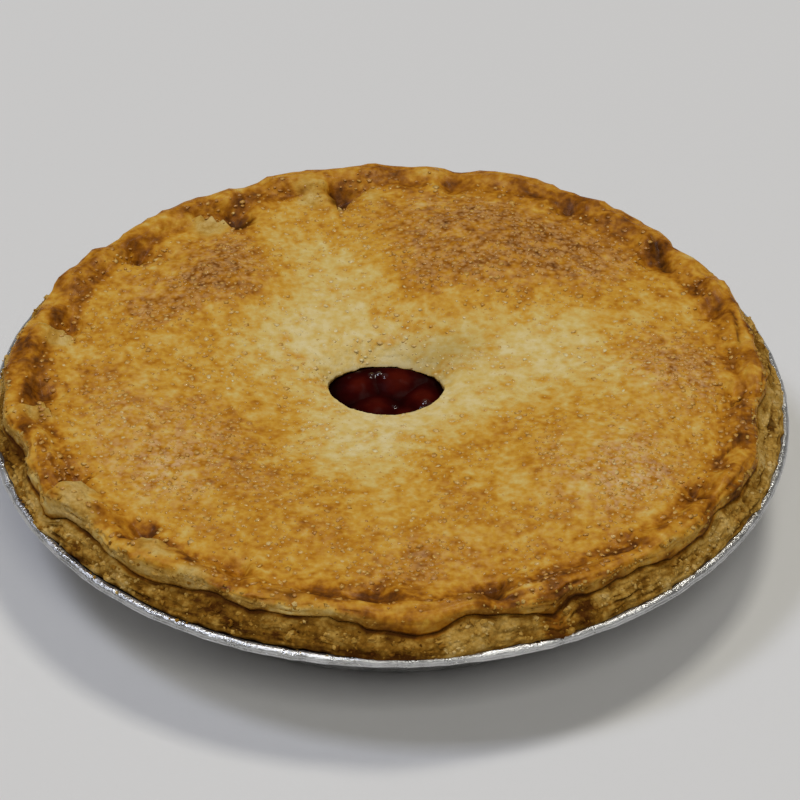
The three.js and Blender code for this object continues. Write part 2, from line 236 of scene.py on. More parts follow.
@dataclass(frozen=True)
class PieForm:
    """The shape that the lid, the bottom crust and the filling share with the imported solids."""

    gap: float = 0.3
    foil: float = 0.5
    base_radius: float = 85.0
    base_corner: float = 3.2
    wall_top: float = 105.8
    flange_height: float = 27.9
    dough: float = 3.6
    band_inner: float = 97.0
    band_foot: float = 111.1
    foot_clearance: float = 0.45
    band_belly: float = 0.9
    edge: float = 110.3
    edge_shoulder: float = 2.6
    smooth_angle: float = 275.0
    crack_height: float = 34.6
    crack_inset: float = 0.7
    crack_opening: float = 0.34
    ragged_reach: float = 0.95
    ragged_size: float = 4.2
    wander_in: float = 0.53
    wander_up: float = 0.40
    wander_blur: float = 1.1
    pull_angle: float = 135.0
    pull_depth: float = 2.0
    pull_width: float = 55.0
    pinch_depth: float = 1.5
    pinch_width: float = 7.0
    crimp_width: float = 4.6
    crimp_narrowest: float = 2.2
    crimp_steep_side: float = 0.62
    crimp_gentle_side: float = 1.15
    crimp_flare: float = 0.33
    crimp_reach: float = 5.4
    fold_height: float = 1.1
    fold_width: float = 2.4
    fold_reach: float = 6.5
    fold_side: float = 1.3
    fold_out: float = 2.0
    vent_x: float = -1.3
    vent_y: float = -0.8
    vent_half_width: float = 16.8
    vent_half_depth: float = 13.7
    lip_drop_back: float = 3.5
    lip_drop_front: float = 0.5
    lip_reach: float = 5.5

    def arc(self, degrees: float, theta: Array, radius: Array) -> Array:
        """Millimetres along the rim from an angle, positive counterclockwise."""
        turn = theta - math.radians(degrees)
        return np.arctan2(np.sin(turn), np.cos(turn)) * radius

    def ripple(self, theta: Array, stream: int) -> Array:
        """Unevenness along the rim, from -1 to 1."""
        slow = 0.45 * np.sin(5 * theta + stream * 1.7) + 0.35 * np.sin(11 * theta + stream * 4.1)
        return slow + 0.2 * np.sin(23 * theta + stream * 2.3)

    def pinch(self, theta: Array) -> Array:
        """How much a pinch draws the rim in, from 0 to 1."""
        pinches = [hill(self.arc(c.angle, theta, self.edge) + 2, self.pinch_width) for c in CRIMPS]
        return np.max(pinches, axis=0)

    def sag_drop(self, theta: Array) -> Array:
        """How far the crack hangs below its usual height."""
        return sum(s.drop * hill(self.arc(s.angle, theta, self.edge), s.width) for s in SAGS)

    def spill_reach(self, theta: Array) -> Array:
        """How far the band stands out over the bead."""
        return sum(s.reach * hill(self.arc(s.angle, theta, self.edge), s.width) for s in SAGS)

    def edge_radius(self, theta: Array) -> Array:
        """Radius of the lid's edge."""
        pull = self.pull_depth * hill(self.arc(self.pull_angle, theta, self.edge), self.pull_width)
        return self.edge - self.pinch_depth * self.pinch(theta) + 0.5 * self.ripple(theta, 1) - pull

    @property
    def inner_corner(self) -> float:
        """Radius of the bottom crust's inner corner, where the filling's floor ends."""
        return self.base_radius - self.dough + 0.5

    def front(self, theta: Array) -> Array:
        """How much an angle is at the pie's front, from 0 to 1."""
        return np.clip(-np.sin(theta), 0, 1)

    def wander(self, theta: Array) -> Array:
        """How far the crack wanders from the lid's plain edge.

        Args:
            theta: angles round the pie.

        Returns:
            The distance at each angle.
        """
        degrees = np.degrees(theta)
        angles, inward = zip(*CRACK_WANDER)
        blur = (-self.wander_blur, 0, self.wander_blur)
        near = [np.interp((degrees + turn) % 360, angles, inward, period=360) for turn in blur]
        return sum(near) / len(near)

    def ragged(self, theta: Array) -> Array:
        """How the crack's own line is torn at its finest."""
        return self.ragged_reach * GRAIN_EDGE.cloud(polar(theta, self.edge, 0.0), self.ragged_size, 3)

    def tear(self, theta: Array) -> Array:
        """How far the crack is torn open and its borders browned and darkened, partly as painted shade,
        from 0 to 1.
        """
        return np.clip(0.7 + 0.9 * GRAIN_EDGE.cloud(polar(theta, self.edge, 70.0), 5.0, 2), 0, 1)

    def smooth_front(self, theta: Array, radius: Array, width: float) -> Array:
        """How near the front an angle is, where the crust's edge is smooth, from 0 to 1."""
        return hill(self.arc(self.smooth_angle, theta, radius), width)

    def lid_edge(self, theta: Array) -> Array:
        """Radius of the lid's edge where it meets the crack, before it is torn."""
        inward = 1 - self.wander_in * self.front(theta) ** 2
        return self.edge_radius(theta) - self.crack_inset - inward * self.wander(theta)

    def crack_radius(self, theta: Array) -> Array:
        """Radius of the crack between the lid and the bottom crust."""
        return self.lid_edge(theta) - 0.45 * self.ragged(theta)

    def crack(self, theta: Array) -> Array:
        """Height of the crack between the lid and the bottom crust.

        Args:
            theta: angles round the pie.

        Returns:
            The height at each angle.
        """
        rise = 0.9 * self.pinch(theta) + 0.5 * self.ripple(theta, 2)
        wandered = self.wander_up * self.front(theta) * self.wander(theta) + 0.6 * self.ragged(theta)
        return self.crack_height + rise - self.sag_drop(theta) + wandered

    def crimp_relief(self, theta: Array, radius: Array) -> Array:
        """Height of the pockets and folds of the rim over its plain top.

        Args:
            theta: angles round the pie.
            radius: how far out each place is.

        Returns:
            The height at each.
        """
        relief = np.zeros(np.broadcast(theta, radius).shape)
        for crimp in CRIMPS:
            along = self.arc(crimp.angle, theta, radius)
            outward = radius - crimp.pocket
            width = np.maximum(self.crimp_narrowest, self.crimp_width + self.crimp_flare * outward)
            side = np.where(along > 0, self.crimp_steep_side * width, self.crimp_gentle_side * width)
            relief -= crimp.depth * hill(along, side) * hill(outward, self.crimp_reach)
            fold = hill(along - self.fold_side * width, self.fold_width)
            fold = fold * hill(outward - self.fold_out, self.fold_reach)
            relief += self.fold_height * fold
        return relief

    def lid_top(self, x: Array, y: Array) -> Array:
        """Height of the lid's top at a plan position, before the vent's lip is rounded.

        Args:
            x, y: plan positions.

        Returns:
            The height at each.
        """
        radius = np.hypot(x, y)
        plain = np.interp(radius, *zip(*LID_TOP)) + sum(swell.over(x, y) for swell in SWELLS)
        return plain + self.crimp_relief(np.arctan2(y, x), radius)

    def plain_parting(self, radius: Array) -> Array:
        """Height of the surface between lid and filling."""
        return np.interp(radius, *zip(*PARTING))

    def parting(self, theta: Array, radius: Array) -> Array:
        """Height of the surface between the lid and what it lies on, out to the crack."""
        share = smoothstep(radius, self.band_inner, self.crack_radius(theta))
        return blend(self.plain_parting(radius), self.crack(theta), share)

    def vent_radius(self, theta: Array) -> Array:
        """Radius of the vent's oval about its own middle."""
        return 1 / np.hypot(np.cos(theta) / self.vent_half_width, np.sin(theta) / self.vent_half_depth)

    def from_vent(self, x: Array, y: Array) -> tuple[Array, Array]:
        """Angle of plan positions about the vent's middle, and their distance outside its outline."""
        theta = np.arctan2(y - self.vent_y, x - self.vent_x)
        return theta, np.hypot(x - self.vent_x, y - self.vent_y) - self.vent_radius(theta)

    def lip_height(self, theta: Array, x: Array, y: Array, outward: Array) -> Array:
        """Height of the lid's top near the vent, where its lip rounds down into the hole.

        Args:
            theta: angles round the vent's middle.
            x, y: plan positions.
            outward: how far each place is from the vent's outline.

        Returns:
            The height at each.
        """
        back = smoothstep(np.sin(theta), -0.3, 0.9)
        drop = blend(self.lip_drop_front, self.lip_drop_back, back)
        reach = self.lip_reach * blend(0.35, 1.0, back)
        return self.lid_top(x, y) - drop * hill(outward, reach)


FORM = PieForm()


# The rim's own folds, slits and stains


@dataclass(frozen=True)
class Lip:
    """The crisp edge of a flap of dough folded over a pocket.

    It runs in plan from one end to the other with the flap on its left, and bows to its right.
    """

    x0: float
    y0: float
    x1: float
    y1: float
    rise: float
    sink: float
    bow: float
    pale: float

    SHORTEST_WALL = 1.2
    WALL_SLOPE = 1.9
    FLAP_LENGTH = 5.0

    @property
    def reach(self) -> float:
        """How far the pocket's wall runs from the lip."""
        return self.SHORTEST_WALL + self.WALL_SLOPE * self.sink

    def place(self, x: Array, y: Array) -> tuple[Array, Array, Array]:
        """Finds plan positions in relation to the lip.

        Args:
            x, y: plan positions.

        Returns:
            How near each is along the lip, from 0 to 1, how far it is on the flap's side, and the
            two parts of the lip's direction to the left, as one array.
        """
        length = math.hypot(self.x1 - self.x0, self.y1 - self.y0)
        along = np.array([self.x1 - self.x0, self.y1 - self.y0]) / length
        left = np.array([-along[1], along[0]])
        share = ((x - self.x0) * along[0] + (y - self.y0) * along[1]) / length
        side = (x - self.x0) * left[0] + (y - self.y0) * left[1]
        held = np.clip(share, 0, 1)
        side = side + self.bow * 4 * held * (1 - held)
        near = smoothstep(share, -0.28, 0.10) * (1 - smoothstep(share, 0.90, 1.28))
        return near, side, left

    def relief(self, x: Array, y: Array) -> Array:
        """Height of the flap over its pocket.

        Args:
            x, y: plan positions.

        Returns:
            The height at each.
        """
        near, side, _ = self.place(x, y)
        step = smoothstep(side, -0.45, 0.35)
        flap = step * self.rise * np.exp(-np.maximum(side, 0) / self.FLAP_LENGTH)
        floor = np.clip(1 + side / self.reach, 0, 1)
        pocket = (1 - step) * self.sink * floor * (1.15 - 0.15 * floor)
        return near * (flap - pocket)


@dataclass(frozen=True)
class Slit:
    """A narrow opening in the crust from one plan position to another, darkened with painted shade."""

    x0: float
    y0: float
    x1: float
    y1: float
    width: float
    depth: float

    BOW = 0.5

    def over(self, x: Array, y: Array, spread: float = 1.0) -> Array:
        """How strongly the slit acts at plan positions, over a share of its own width.

        Args:
            x, y: plan positions.
            spread: the share of its width.

        Returns:
            Its strength at each place, from 0 to 1.
        """
        lip = Lip(self.x0, self.y0, self.x1, self.y1, rise=0, sink=0, bow=self.BOW, pale=0)
        near, side, _ = lip.place(x, y)
        return near * hill(side, self.width * spread)


@dataclass(frozen=True)
class Stain:
    """An oval mark on the rim: where it is, its half sizes and what it changes.

    The angle is in degrees. Along is measured round the rim and across it outwards, or upwards on
    the band, where `place` is a height.
    """

    angle: float
    place: float
    along: float
    across: float
    bake: float
    bare: float = 0.0
    lift: float = 0.0

    FAINT = 0.12
    FULL = 0.86

    def over(self, theta: Array, around: Array, place: Array) -> Array:
        """How strongly the mark acts.

        Args:
            theta: angles round the pie.
            around: how far out each place is.
            place: how far out each place is, or how high on the band.

        Returns:
            Its strength at each place, from 0 to 1.
        """
        arc = FORM.arc(self.angle, theta, around) / self.along
        oval = np.exp(-(arc**2) - ((place - self.place) / self.across) ** 2)
        return smoothstep(oval, self.FAINT, self.FULL)


LIPS = marks(
    Lip, (-16.1, 85.7, -21.8, 98.2, 0.7, 1.9, 0.8, 0.8), (-8.6, 95.2, -15.8, 85.7, 0.4, 1.9, 0.4, 0.3),
    (-48.5, 73.6, -60.2, 79.4, 0.9, 2.2, 1.2, 0.9), (-65.5, 55.5, -82, 60.5, 0.7, 2, 0.6, 0.4),
    (-92.8, 16.8, -101, 20.7, 0.9, 1.9, 1.2, 0.9), (-96.2, -19.8, -104.6, -16.5, 1, 2.1, 2.2, 0.9),
    (-82, -54.4, -93.4, -53.7, 1, 2.2, 1.5, 0.9), (-54.2, -83.3, -70.4, -77.5, 0.9, 1.8, 2, 0.7),
    (-36, -86, -41.5, -96.5, 0.3, 0.6, 1, 0.2), (-1, -94, -2.4, -103.5, 0.3, 0.8, 1, 0.2),
    (31.5, -92, 35, -102, 0.7, 1.8, 0.8, 0.4), (83.5, -50, 91.5, -55, 0.3, 0.9, 0.8, 0.2),
    (93, 33, 100, 36.5, 0.4, 0.9, 0.8, 0.2), (50, 80, 54.5, 89, 0.3, 0.9, 0.8, 0.2),
    (16.5, 95, 17.8, 104, 0.3, 0.6, 0.8, 0.2),
)
SLITS = marks(
    Slit, (78.9, 67.4, 82.2, 54.8, 0.8, 1.7), (60.4, -79.5, 67.2, -75.5, 0.6, 0.9),
    (94.6, -52.3, 100.3, -46, 0.6, 1.1), (96.6, -12.6, 100.6, -6.8, 0.6, 1.1),
    (-66.5, -71, -63, -67.5, 0.8, 0.8), (-19.5, -99, -14.5, -99.8, 0.6, 0.8),
    (92, -37, 99, -27, 0.45, 0.5), (100.5, 16, 99.5, 30, 0.45, 0.5), (-43, 80.2, -49.8, 79, 2.7, 0.5),
    (-14.8, 95.5, -18.3, 89, 1.9, 0.5), (27, -97, 32, -96, 2.3, 0.4),
)
# Some marks are painted light and shade: the pale streak at 275 degrees is a painted highlight along the
# smooth front roll, and the dark marks in the pockets are partly browning and partly painted shade
RIM_STAINS = marks(
    Stain, (100.2, 95.5, 3.2, 6.5, 0.3), (105.5, 96, 4, 8, -0.22, 0.75), (94, 92, 3, 6, -0.12, 0.3),
    (96.3, 98, 3, 5, -0.18), (120.5, 92.5, 5, 4, 0.4), (127, 93, 4.5, 5.5, -0.24, 0.85),
    (116, 97, 7, 4, 0.16, 0, 0.5), (130.1, 101, 6, 3, 0.14), (108, 69.5, 1.5, 6, -0.3, 0, 0.15),
    (140, 99, 6, 4, 0.2), (152, 99, 9, 4, 0.06), (163.5, 101.5, 4, 3.5, 0.34),
    (170.5, 98, 4, 4, -0.22, 0.7), (176, 101, 6, 5, 0.05), (179, 105, 15, 5, 0.24),
    (175, 107, 12, 4, 0.16), (84, 105, 16, 6, 0, 0, -1.7), (62.5, 106, 5, 6, 0, 0, -1.5),
    (55.5, 106, 5, 6, 0, 0, 1.4), (29, 106, 5, 6, 0, 0, -1.4), (38, 106, 5, 6, 0, 0, 1.7),
    (18, 106, 5, 6, 0, 0, 1.3), (159, 106, 7, 6, 0, 0, -1.7), (138, 106, 8, 6, 0, 0, -1.1),
    (114.5, 105, 6, 6, 0, 0, -1.3), (184.8, 100.1, 4.2, 4.6, 0.62), (191.5, 101.5, 4.5, 5, -0.24, 0.75),
    (188, 93.5, 5, 3.5, 0.02), (195, 106, 5, 2.4, 0.34), (200.5, 103.5, 3, 2.2, 0.3),
    (206, 100.5, 5, 4.5, -0.1), (209.8, 97.3, 1.8, 3, 0.42), (213.4, 101, 2.5, 6, -0.2, 0.7),
    (216.4, 105.5, 9, 4.5, -0.3, 0.95, 0.5), (220.7, 101.3, 5, 4, 0.26), (227, 93.8, 2.2, 2, 0.42),
    (226.8, 104.8, 2.4, 2, 0.4), (226.8, 99, 7, 5, 0.22), (232, 103, 7, 3, -0.22, 0.6, 0.3),
    (237.5, 101, 3, 1.8, 0.45), (240.5, 104.7, 5, 3, -0.2, 0.75, 0.4), (247, 99, 9, 5, 0.12),
    (255, 103.5, 8, 2.5, 0.14, 0.3), (260.2, 100.7, 5, 1.5, 0.45, 0, -0.3), (265, 98, 22, 7, 0.2),
    (267.9, 96.9, 7, 2.2, 0.32), (275, 103.8, 9, 1.8, -0.22, 0, 0.5),
    (282.5, 102.5, 3, 2, -0.2, 0.7, 0.6), (286.5, 99.5, 5, 4, 0.38), (295.5, 107, 5, 2.5, 0.24),
    (291.5, 104.8, 5, 3, -0.1), (292, 103.2, 7, 1.1, -0.3, 0, 0.5), (300, 99, 12, 4, 0.1),
    (309.5, 100.2, 7, 1.8, 0.3), (318, 103, 8, 3, 0.1), (325.7, 103, 7, 5, 0.2),
    (324.5, 107, 5, 2.2, 0.26), (333.5, 104, 7, 3, 0.12), (345, 104.5, 13, 4, 0.22),
    (358.5, 99.6, 11, 3.8, -0.1, 0, -0.5), (12, 107.8, 10, 2, 0.2), (19, 102, 6, 3.5, 0.26),
    (30, 104, 8, 3, 0.12), (38, 101, 4, 5, 0.16), (48.5, 105, 6, 2.2, 0.26), (57.5, 101.5, 5, 3.5, 0.24),
    (68, 104, 10, 2.2, 0.12), (79.6, 101, 5, 3, 0.2), (88, 104.5, 8, 2.2, 0.1),
)


class Rim:
    """What the folds, slits and stains do to the lid at plan positions."""

    ROPE_INSET = 4.4
    ROPE_WIDTH = 2.6
    ROPE_HEIGHT = 0.8
    GROOVE_INSET = 9.6
    GROOVE_WIDTH = 2.3
    GROOVE_DEPTH = 0.8
    TORN_REACH = 0.9
    TORN_SIZE = 4.5
    OVERHANG = 0.75

    def rope(self, theta: Array, around: Array) -> Array:
        """Height of the rolled edge that runs round the lid, and of the groove inside it.

        Args:
            theta: angles round the pie.
            around: how far out each place is.

        Returns:
            The height at each.
        """
        inset = FORM.lid_edge(theta) - around
        drift = 1.6 * GRAIN_EDGE.at(polar(theta, FORM.edge, 30.0), 16.0)
        swell = 1 + 0.7 * GRAIN_EDGE.cloud(polar(theta, FORM.edge, 50.0), 11.0, 2)
        ridge = self.ROPE_HEIGHT * swell * hill(inset - self.ROPE_INSET - 0.4 * drift, self.ROPE_WIDTH)
        groove = self.GROOVE_DEPTH * swell * hill(inset - self.GROOVE_INSET - drift, self.GROOVE_WIDTH)
        return ridge - groove

    def torn(self, x: Array, y: Array) -> tuple[Array, Array]:
        """Plan positions moved about a little, which gives the marks uneven outlines.

        Args:
            x, y: plan positions.

        Returns:
            The moved positions.
        """
        flat = level(x, y, 420.0)
        across = self.TORN_REACH * GRAIN_EDGE.cloud(flat, self.TORN_SIZE, 3)
        return x + across, y + self.TORN_REACH * GRAIN_EDGE.cloud(flat + 33.0, self.TORN_SIZE, 3)

    def relief(self, x: Array, y: Array) -> Array:
        """Height that they add to the lid.

        Args:
            x, y: plan positions.

        Returns:
            The height at each.
        """
        theta = np.arctan2(y, x)
        around = np.hypot(x, y)
        x, y = self.torn(x, y)
        total = self.rope(theta, around) + sum(lip.relief(x, y) for lip in LIPS)
        total = total - sum(slit.depth * slit.over(x, y) for slit in SLITS)
        lifted = [stain for stain in RIM_STAINS if stain.lift]
        return total + sum(stain.lift * stain.over(theta, around, around) for stain in lifted)

    def lean(self, x: Array, y: Array) -> tuple[Array, Array]:
        """How far each place shifts in plan, so that the flaps hang over their pockets.

        Args:
            x, y: plan positions.

        Returns:
            The two shifts.
        """
        dx = np.zeros_like(x)
        dy = np.zeros_like(x)
        for lip in LIPS:
            near, side, left = lip.place(x, y)
            shift = -self.OVERHANG * near * hill(side - 0.5, 1.0) * min(1.0, lip.rise + 0.2)
            dx += shift * left[0]
            dy += shift * left[1]
        return dx, dy

    def tones(self, x: Array, y: Array) -> tuple[Array, Array, Array]:
        """How the marks change the crust's colour.

        Args:
            x, y: plan positions.

        Returns:
            What they add to how brown and how bare it is, and its painted shade.
        """
        rope = self.rope(np.arctan2(y, x), np.hypot(x, y))
        x, y = self.torn(x, y)
        theta = np.arctan2(y, x)
        around = np.hypot(x, y)
        bake = np.zeros_like(x)
        bare = np.zeros_like(x)
        shade = np.zeros_like(x)
        mottle = np.clip(0.78 + 0.55 * GRAIN_BAKE.cloud(level(x, y, 510.0), 3.4, 2), 0.25, 1.5)
        for stain in RIM_STAINS:
            over = stain.over(theta, around, around)
            bake += stain.bake * over * mottle
            bare += stain.bare * over
        for lip in LIPS:
            near, side, _ = lip.place(x, y)
            pocket = near * np.clip(1 + side / lip.reach, 0, 1) * (side < 0.1)
            # Pockets browner, partly browning and partly painted shade, with painted shade at the foot of
            # each lip
            bake += 0.13 * lip.sink * pocket
            shade += 0.14 * lip.sink * near * hill(side + 0.5, 0.6)
            flap = near * smoothstep(side, 0.0, 0.5) * np.exp(-np.maximum(side, 0) / 1.8)
            bake -= 0.26 * lip.pale * flap
            bare += 0.35 * lip.pale * flap
        # Painted shade: darker in the groove inside the rope
        bake += 0.20 * np.clip(-rope - 0.1, 0, 1)
        # Slits browned round about and darkened inside with painted shade
        for slit in SLITS:
            bake += 0.22 * slit.over(x, y, 2.6)
            shade += 0.75 * slit.over(x, y, 0.9)
        return bake, bare, shade


RIM = Rim()


# Meshes


def start_clean() -> None:
    """Leaves edit mode and deselects everything, so that an operator acts on a new piece alone."""
    if bpy.context.object and bpy.context.object.mode != "OBJECT":
        bpy.ops.object.mode_set(mode="OBJECT")
    bpy.ops.object.select_all(action="DESELECT")


def dress(piece: bpy.types.Object, name: str, material: bpy.types.Material) -> None:
    """Names a piece, gives it its material and lets it ride on the pie.

    Args:
        piece: the finished object.
        name: its name in the table of pieces.
        material: its finish.
    """
    piece.name = name
    piece.data.name = name
    piece.data.materials.clear()
    piece.data.materials.append(material)
    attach(piece, BODY)


def smooth_over(piece: bpy.types.Object, degrees: float) -> None:
    """Shades a piece smooth, apart from edges sharper than an angle.

    Args:
        piece: the finished object.
        degrees: the angle.
    """
    start_clean()
    piece.select_set(True)
    bpy.context.view_layer.objects.active = piece
    bpy.ops.object.shade_smooth_by_angle(angle=math.radians(degrees))


def write_attribute(piece: bpy.types.Object, name: str, values: Array) -> None:
    """Keeps one number for each vertex on a piece, for its material to read."""
    layer = piece.data.attributes.new(name, "FLOAT", "POINT")
    layer.data.foreach_set("value", np.asarray(values, dtype=np.float32).ravel())


class TurnedPiece:
    """A ring whose rows of vertices are set to the stations of a section turned round the axis."""

    RING = 0.062
    TUBE = 0.75 * RING

    def __init__(self, stations: int, meridians: int) -> None:
        """Adds the ring and finds the station and meridian of each of its vertices.

        Args:
            stations: how many places the section has.
            meridians: how many sections stand round the axis.
        """
        start_clean()
        self.meridians = meridians
        bpy.ops.mesh.primitive_torus_add(
            major_segments=meridians, minor_segments=stations, major_radius=self.RING,
            minor_radius=self.TUBE, generate_uvs=False)
        self.piece = bpy.context.object
        corners = self.corners()
        turn = np.arctan2(corners[:, 1], corners[:, 0])
        out = np.hypot(corners[:, 0], corners[:, 1])
        self.meridian = np.round(turn / (2 * math.pi) * meridians).astype(int) % meridians
        section = np.arctan2(corners[:, 2], out - self.RING) / (2 * math.pi)
        self.station = np.round(section * stations).astype(int) % stations

    def corners(self) -> Array:
        """The places of the vertices, in metres.

        Returns:
            One place in each row.
        """
        flat = np.empty(len(self.piece.data.vertices) * 3)
        self.piece.data.vertices.foreach_get("co", flat)
        return flat.reshape(-1, 3)

    def angles(self) -> Array:
        """The angle of each meridian, in one row."""
        return np.arange(self.meridians)[None, :] * 2 * math.pi / self.meridians

    def shape(self, places: Array) -> None:
        """Moves each vertex to its place, in millimetres by station and meridian."""
        self.piece.data.vertices.foreach_set("co", (places[self.station, self.meridian] * MM).ravel())
        self.piece.data.update()

    def keep(self, **tones: Array) -> None:
        """Keeps numbers by station and meridian as attributes of the piece."""
        for name, values in tones.items():
            write_attribute(self.piece, name, values[self.station, self.meridian])

    def close_poles(self) -> None:
        """Merges the rows that lie on the axis, above and below, into one vertex each."""
        start_clean()
        self.piece.select_set(True)
        bpy.context.view_layer.objects.active = self.piece
        bpy.ops.object.mode_set(mode="EDIT")
        bpy.ops.mesh.select_all(action="SELECT")
        bpy.ops.mesh.remove_doubles(threshold=1e-7)
        bpy.ops.mesh.delete_loose()
        bpy.ops.object.mode_set(mode="OBJECT")


# Materials


class Value:
    """A number in a material: a socket that Python's operators work on."""

    def __init__(self, sheet: "Sheet", socket: bpy.types.NodeSocket) -> None:
        """Wraps a socket of a material's sheet."""
        self.sheet = sheet
        self.socket = socket

    def _math(self, operation: str, *values: "Value | float") -> "Value":
        """Adds one Math node.

        Args:
            operation: what it works out.
            values: its inputs in order.

        Returns:
            Its result.
        """
        inputs = dict(enumerate(values))
        node = self.sheet.node("ShaderNodeMath", {"operation": operation}, inputs)
        return Value(self.sheet, node.outputs[0])

    def __add__(self, other: "Value | float") -> "Value":
        """Sum."""
        return self._math("ADD", self, other)

    def __radd__(self, other: float) -> "Value":
        """Sum."""
        return self._math("ADD", other, self)

    def __sub__(self, other: "Value | float") -> "Value":
        """Difference."""
        return self._math("SUBTRACT", self, other)

    def __rsub__(self, other: float) -> "Value":
        """Difference."""
        return self._math("SUBTRACT", other, self)

    def __mul__(self, other: "Value | float") -> "Value":
        """Product."""
        return self._math("MULTIPLY", self, other)

    def __rmul__(self, other: float) -> "Value":
        """Product."""
        return self._math("MULTIPLY", other, self)

    def step(self, low: float, high: float) -> "Value":
        """A soft step from 0 at low to 1 at high.

        Args:
            low: where the step starts.
            high: where it ends.

        Returns:
            The step as a Value.
        """
        settings = {"interpolation_type": "SMOOTHSTEP", "clamp": True}
        inputs = {"Value": self, "From Min": low, "From Max": high}
        node = self.sheet.node("ShaderNodeMapRange", settings, inputs)
        return Value(self.sheet, node.outputs[0])

    def held(self) -> "Value":
        """The same number, held between 0 and 1."""
        return Value(self.sheet, self.sheet.node("ShaderNodeClamp", {}, {"Value": self}).outputs[0])


class Sheet:
    """The nodes of one material, with a principled shader at its end."""

    # Where a Mix node keeps its two colours and its result
    MIX_FIRST = 6
    MIX_SECOND = 7
    MIX_RESULT = 2

    def __init__(self, name: str) -> None:
        """Starts a material with nothing but its shader and output.

        Args:
            name: the material's name.
        """
        self.material = bpy.data.materials.new(name)
        self.material.use_nodes = True
        self.tree = self.material.node_tree
        self.shader = self.tree.nodes["Principled BSDF"]
        self.place = self.tree.nodes.new("ShaderNodeTexCoord").outputs["Object"]

    def node(self, kind: str, settings: dict, inputs: dict) -> bpy.types.Node:
        """Adds a node.

        Args:
            kind: its type.
            settings: its own settings, which are set first.
            inputs: values, sockets or Values by the socket's name or number.

        Returns:
            The new node.
        """
        node = self.tree.nodes.new(kind)
        for name, setting in settings.items():
            setattr(node, name, setting)
        for key, given in inputs.items():
            self.join(node.inputs[key], given)
        return node

    def join(self, socket: bpy.types.NodeSocket, given: object) -> None:
        """Links a socket to a Value or socket, or sets it to a plain value.

        Args:
            socket: the socket to set.
            given: a Value, a socket or a plain value.
        """
        if isinstance(given, Value):
            given = given.socket
        if isinstance(given, bpy.types.NodeSocket):
            self.tree.links.new(given, socket)
        elif isinstance(given, tuple) and socket.type == "RGBA":
            socket.default_value = (*given, 1.0)
        else:
            socket.default_value = given

    def set(self, **inputs: object) -> None:
        """Sets or links sockets of the shader, with an underscore for each space in their names."""
        for name, given in inputs.items():
            self.join(self.shader.inputs[name.replace("_", " ")], given)

    def noise(self, size: float, detail: float = 3.0, rough: float = 0.55) -> Value:
        """Unevenness from 0 to 1.

        Args:
            size: size of its coarsest spots in millimetres.
            detail: how many finer layers it has.
            rough: strength of the finer layers.

        Returns:
            The unevenness.
        """
        inputs = {"Vector": self.place, "Scale": 1 / (size * MM), "Detail": detail, "Roughness": rough}
        return Value(self, self.node("ShaderNodeTexNoise", {}, inputs).outputs[0])

    def pits(self, size: float) -> Value:
        """Distance to the nearest of scattered points, from 0 at a point to about 1."""
        inputs = {"Vector": self.place, "Scale": 1 / (size * MM)}
        return Value(self, self.node("ShaderNodeTexVoronoi", {}, inputs).outputs["Distance"])

    def attribute(self, name: str) -> Value:
        """A number kept on the mesh."""
        node = self.node("ShaderNodeAttribute", {"attribute_name": name}, {})
        return Value(self, node.outputs["Fac"])

    def ramp(self, value: Value, stops: Sequence[tuple[float, Colour]]) -> bpy.types.NodeSocket:
        """A colour that runs through stops as a value goes from 0 to 1.

        Args:
            value: where on the ramp.
            stops: places and colours, in order.

        Returns:
            The colour's socket.
        """
        node = self.node("ShaderNodeValToRGB", {}, {"Fac": value})
        elements = node.color_ramp.elements
        while len(elements) < len(stops):
            elements.new(0.5)
        for element, (place, colour) in zip(elements, stops):
            element.position = place
            element.color = (*colour, 1.0)
        return node.outputs["Color"]

    def mix(self, share: Value, first: object, second: object) -> bpy.types.NodeSocket:
        """A colour at a share of the way from the first to the second.

        Args:
            share: the share, from 0 to 1.
            first: the colour at 0, or its socket.
            second: the colour at 1, or its socket.

        Returns:
            The colour's socket.
        """
        node = self.node("ShaderNodeMix", {"data_type": "RGBA"}, {"Factor": share})
        self.join(node.inputs[self.MIX_FIRST], first)
        self.join(node.inputs[self.MIX_SECOND], second)
        return node.outputs[self.MIX_RESULT]

    def bump(self, height: Value, distance: float) -> None:
        """Lets a height of 0 to 1 roughen the surface by a distance in millimetres."""
        node = self.node("ShaderNodeBump", {}, {"Height": height, "Distance": distance * MM})
        self.join(self.shader.inputs["Normal"], node.outputs["Normal"])


CRUST_STOPS = (
    (0.00, (0.71, 0.58, 0.28)),
    (0.20, (0.65, 0.465, 0.135)),
    (0.40, (0.60, 0.315, 0.034)),
    (0.58, (0.47, 0.190, 0.009)),
    (0.76, (0.275, 0.088, 0.0015)),
    (1.00, (0.100, 0.028, 0.001)),
)
DOUGH_STOPS = (
    (0.00, (0.64, 0.44, 0.155)),
    (0.35, (0.47, 0.270, 0.052)),
    (0.65, (0.25, 0.114, 0.011)),
    (1.00, (0.085, 0.026, 0.002)),
)
SUGAR_STOPS = (
    (0.00, (0.72, 0.60, 0.30)),
    (0.35, (0.60, 0.335, 0.060)),
    (0.65, (0.47, 0.215, 0.040)),
    (1.00, (0.27, 0.100, 0.012)),
)
